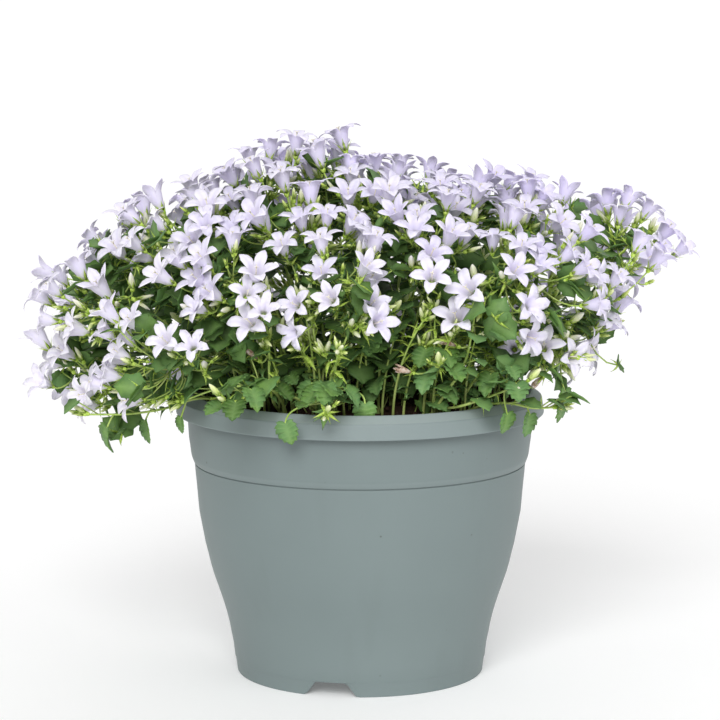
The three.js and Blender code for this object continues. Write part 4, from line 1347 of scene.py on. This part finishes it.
def drill_drains(pot):
    """Cuts the four drain holes through the pot's floor, under the soil."""
    for k in range(4):
        out, _ = around(math.radians(90 * k + 45))
        at = POT_AXIS + (out * DRAIN_RING + UP * 10.5) * MM
        bpy.ops.mesh.primitive_cylinder_add(vertices=32, radius=DRAIN_RADIUS * MM, depth=8 * MM, location=at)
        drill = bpy.context.object
        cut = pot.modifiers.new("drain", "BOOLEAN")
        cut.object = drill
        cut.operation = "DIFFERENCE"
        bpy.context.view_layer.objects.active = pot
        bpy.ops.object.modifier_apply(modifier=cut.name)
        bpy.data.objects.remove(drill)


def soil_level(radius):
    """The soil's height at a distance from the middle, both in metres."""
    return (171 + 5 * (1 - (radius / SOIL_RADIUS) ** 2)) * MM


def soil_shape():
    """A crumbly plug of soil that fills the pot to just under its rim."""
    angles = even_turns(SOIL_SIDES)
    rings = [circle(radius, angles, height) for radius, height in SOIL_WALL]
    for radius in np.linspace(102.5, 0.5, 40):
        ring = circle(radius, angles, soil_level(radius * MM) / MM)
        for row in ring:
            spot = Vector(row)
            row[2] += 3.2 * noise.turbulence(spot * 0.09, 4, False) - 1.6
            row[2] += 1.0 * noise.noise(spot * 0.55)
        rings.append(ring)
    return on_pot_axis(rings, SOIL_WALL[0][1], float(rings[-1][:, 2].mean()))


def crumb():
    """A rough lump of soil, about 1 across."""
    made = lathe([(0.35, -0.4), (0.5, -0.1), (0.47, 0.2), (0.25, 0.42)], 7)
    made.points *= draws.uniform(0.75, 1.2, made.points.shape)
    return made


def crumbs():
    """Loose lumps on the soil."""
    kinds = [crumb() for _ in range(10)]
    made = []
    for _ in range(180):
        radius = 100 * MM * math.sqrt(draws.random())
        out, _ = around(draws.uniform(0, 2 * math.pi))
        at = POT_AXIS + out * radius + UP * (soil_level(radius) + 0.5 * MM)
        axes = axes_on(any_way(), any_way())
        made.append(kinds[draws.integers(len(kinds))].at(at, axes, draws.uniform(1.5, 5) * MM))
    return made


def make_pot():
    pot = add_piece("pot_fine", pot_shape(), [pot_material()], "pot_plastic", "pot")
    drill_drains(pot)
    pot.data.set_sharp_from_angle(angle=math.radians(24))
    soil = merged([soil_shape(), *crumbs()])
    add_piece("soil_fine", soil, [soil_material()], "potting_soil", "soil")


# The room: a pale floor, soft light and the photograph's camera


def make_room():
    bpy.ops.mesh.primitive_plane_add(size=120, location=(0, 0, 0))
    floor = bpy.context.object
    floor.name = "floor"
    floor.data.materials.append(floor_material())

    world = bpy.data.worlds.new("pale_room")
    world.use_nodes = True
    world.node_tree.nodes["Background"].inputs["Color"].default_value = (1.0, 1.0, 1.0, 1.0)
    world.node_tree.nodes["Background"].inputs["Strength"].default_value = 0.5
    bpy.context.scene.world = world

    for name, toward, softness, strength in (
        ("key", (-0.15, -1.0, 0.66), 30, 2.0),
        ("fill", (0.9, -0.8, 0.5), 60, 0.45),
        ("back", (0.2, 1.0, 0.9), 60, 0.5),
    ):
        lamp = bpy.data.lights.new(name, "SUN")
        lamp.angle = math.radians(softness)
        lamp.energy = strength
        holder = bpy.data.objects.new(name, lamp)
        holder.location = Vector(toward) * 2
        holder.rotation_euler = Vector(toward).to_track_quat("Z", "Y").to_euler()
        bpy.context.scene.collection.objects.link(holder)


def make_camera():
    """The photograph's camera, as it was fitted to the pot's two ellipses and its sides."""
    in_front, above, degrees_down = 1.908, 0.477, 8.36
    lens = bpy.data.cameras.new("camera")
    lens.sensor_width = 36
    lens.lens = 154.3
    lens.clip_end = 50
    camera = bpy.data.objects.new("camera", lens)
    camera.location = (POT_AXIS[0], -in_front, above)
    camera.rotation_euler = (math.radians(90 - degrees_down), 0, 0)
    bpy.context.scene.collection.objects.link(camera)
    bpy.context.scene.camera = camera


make_camera()
make_room()
make_pot()
grow_plant()

bpy.context.scene.view_settings.view_transform = "Standard"
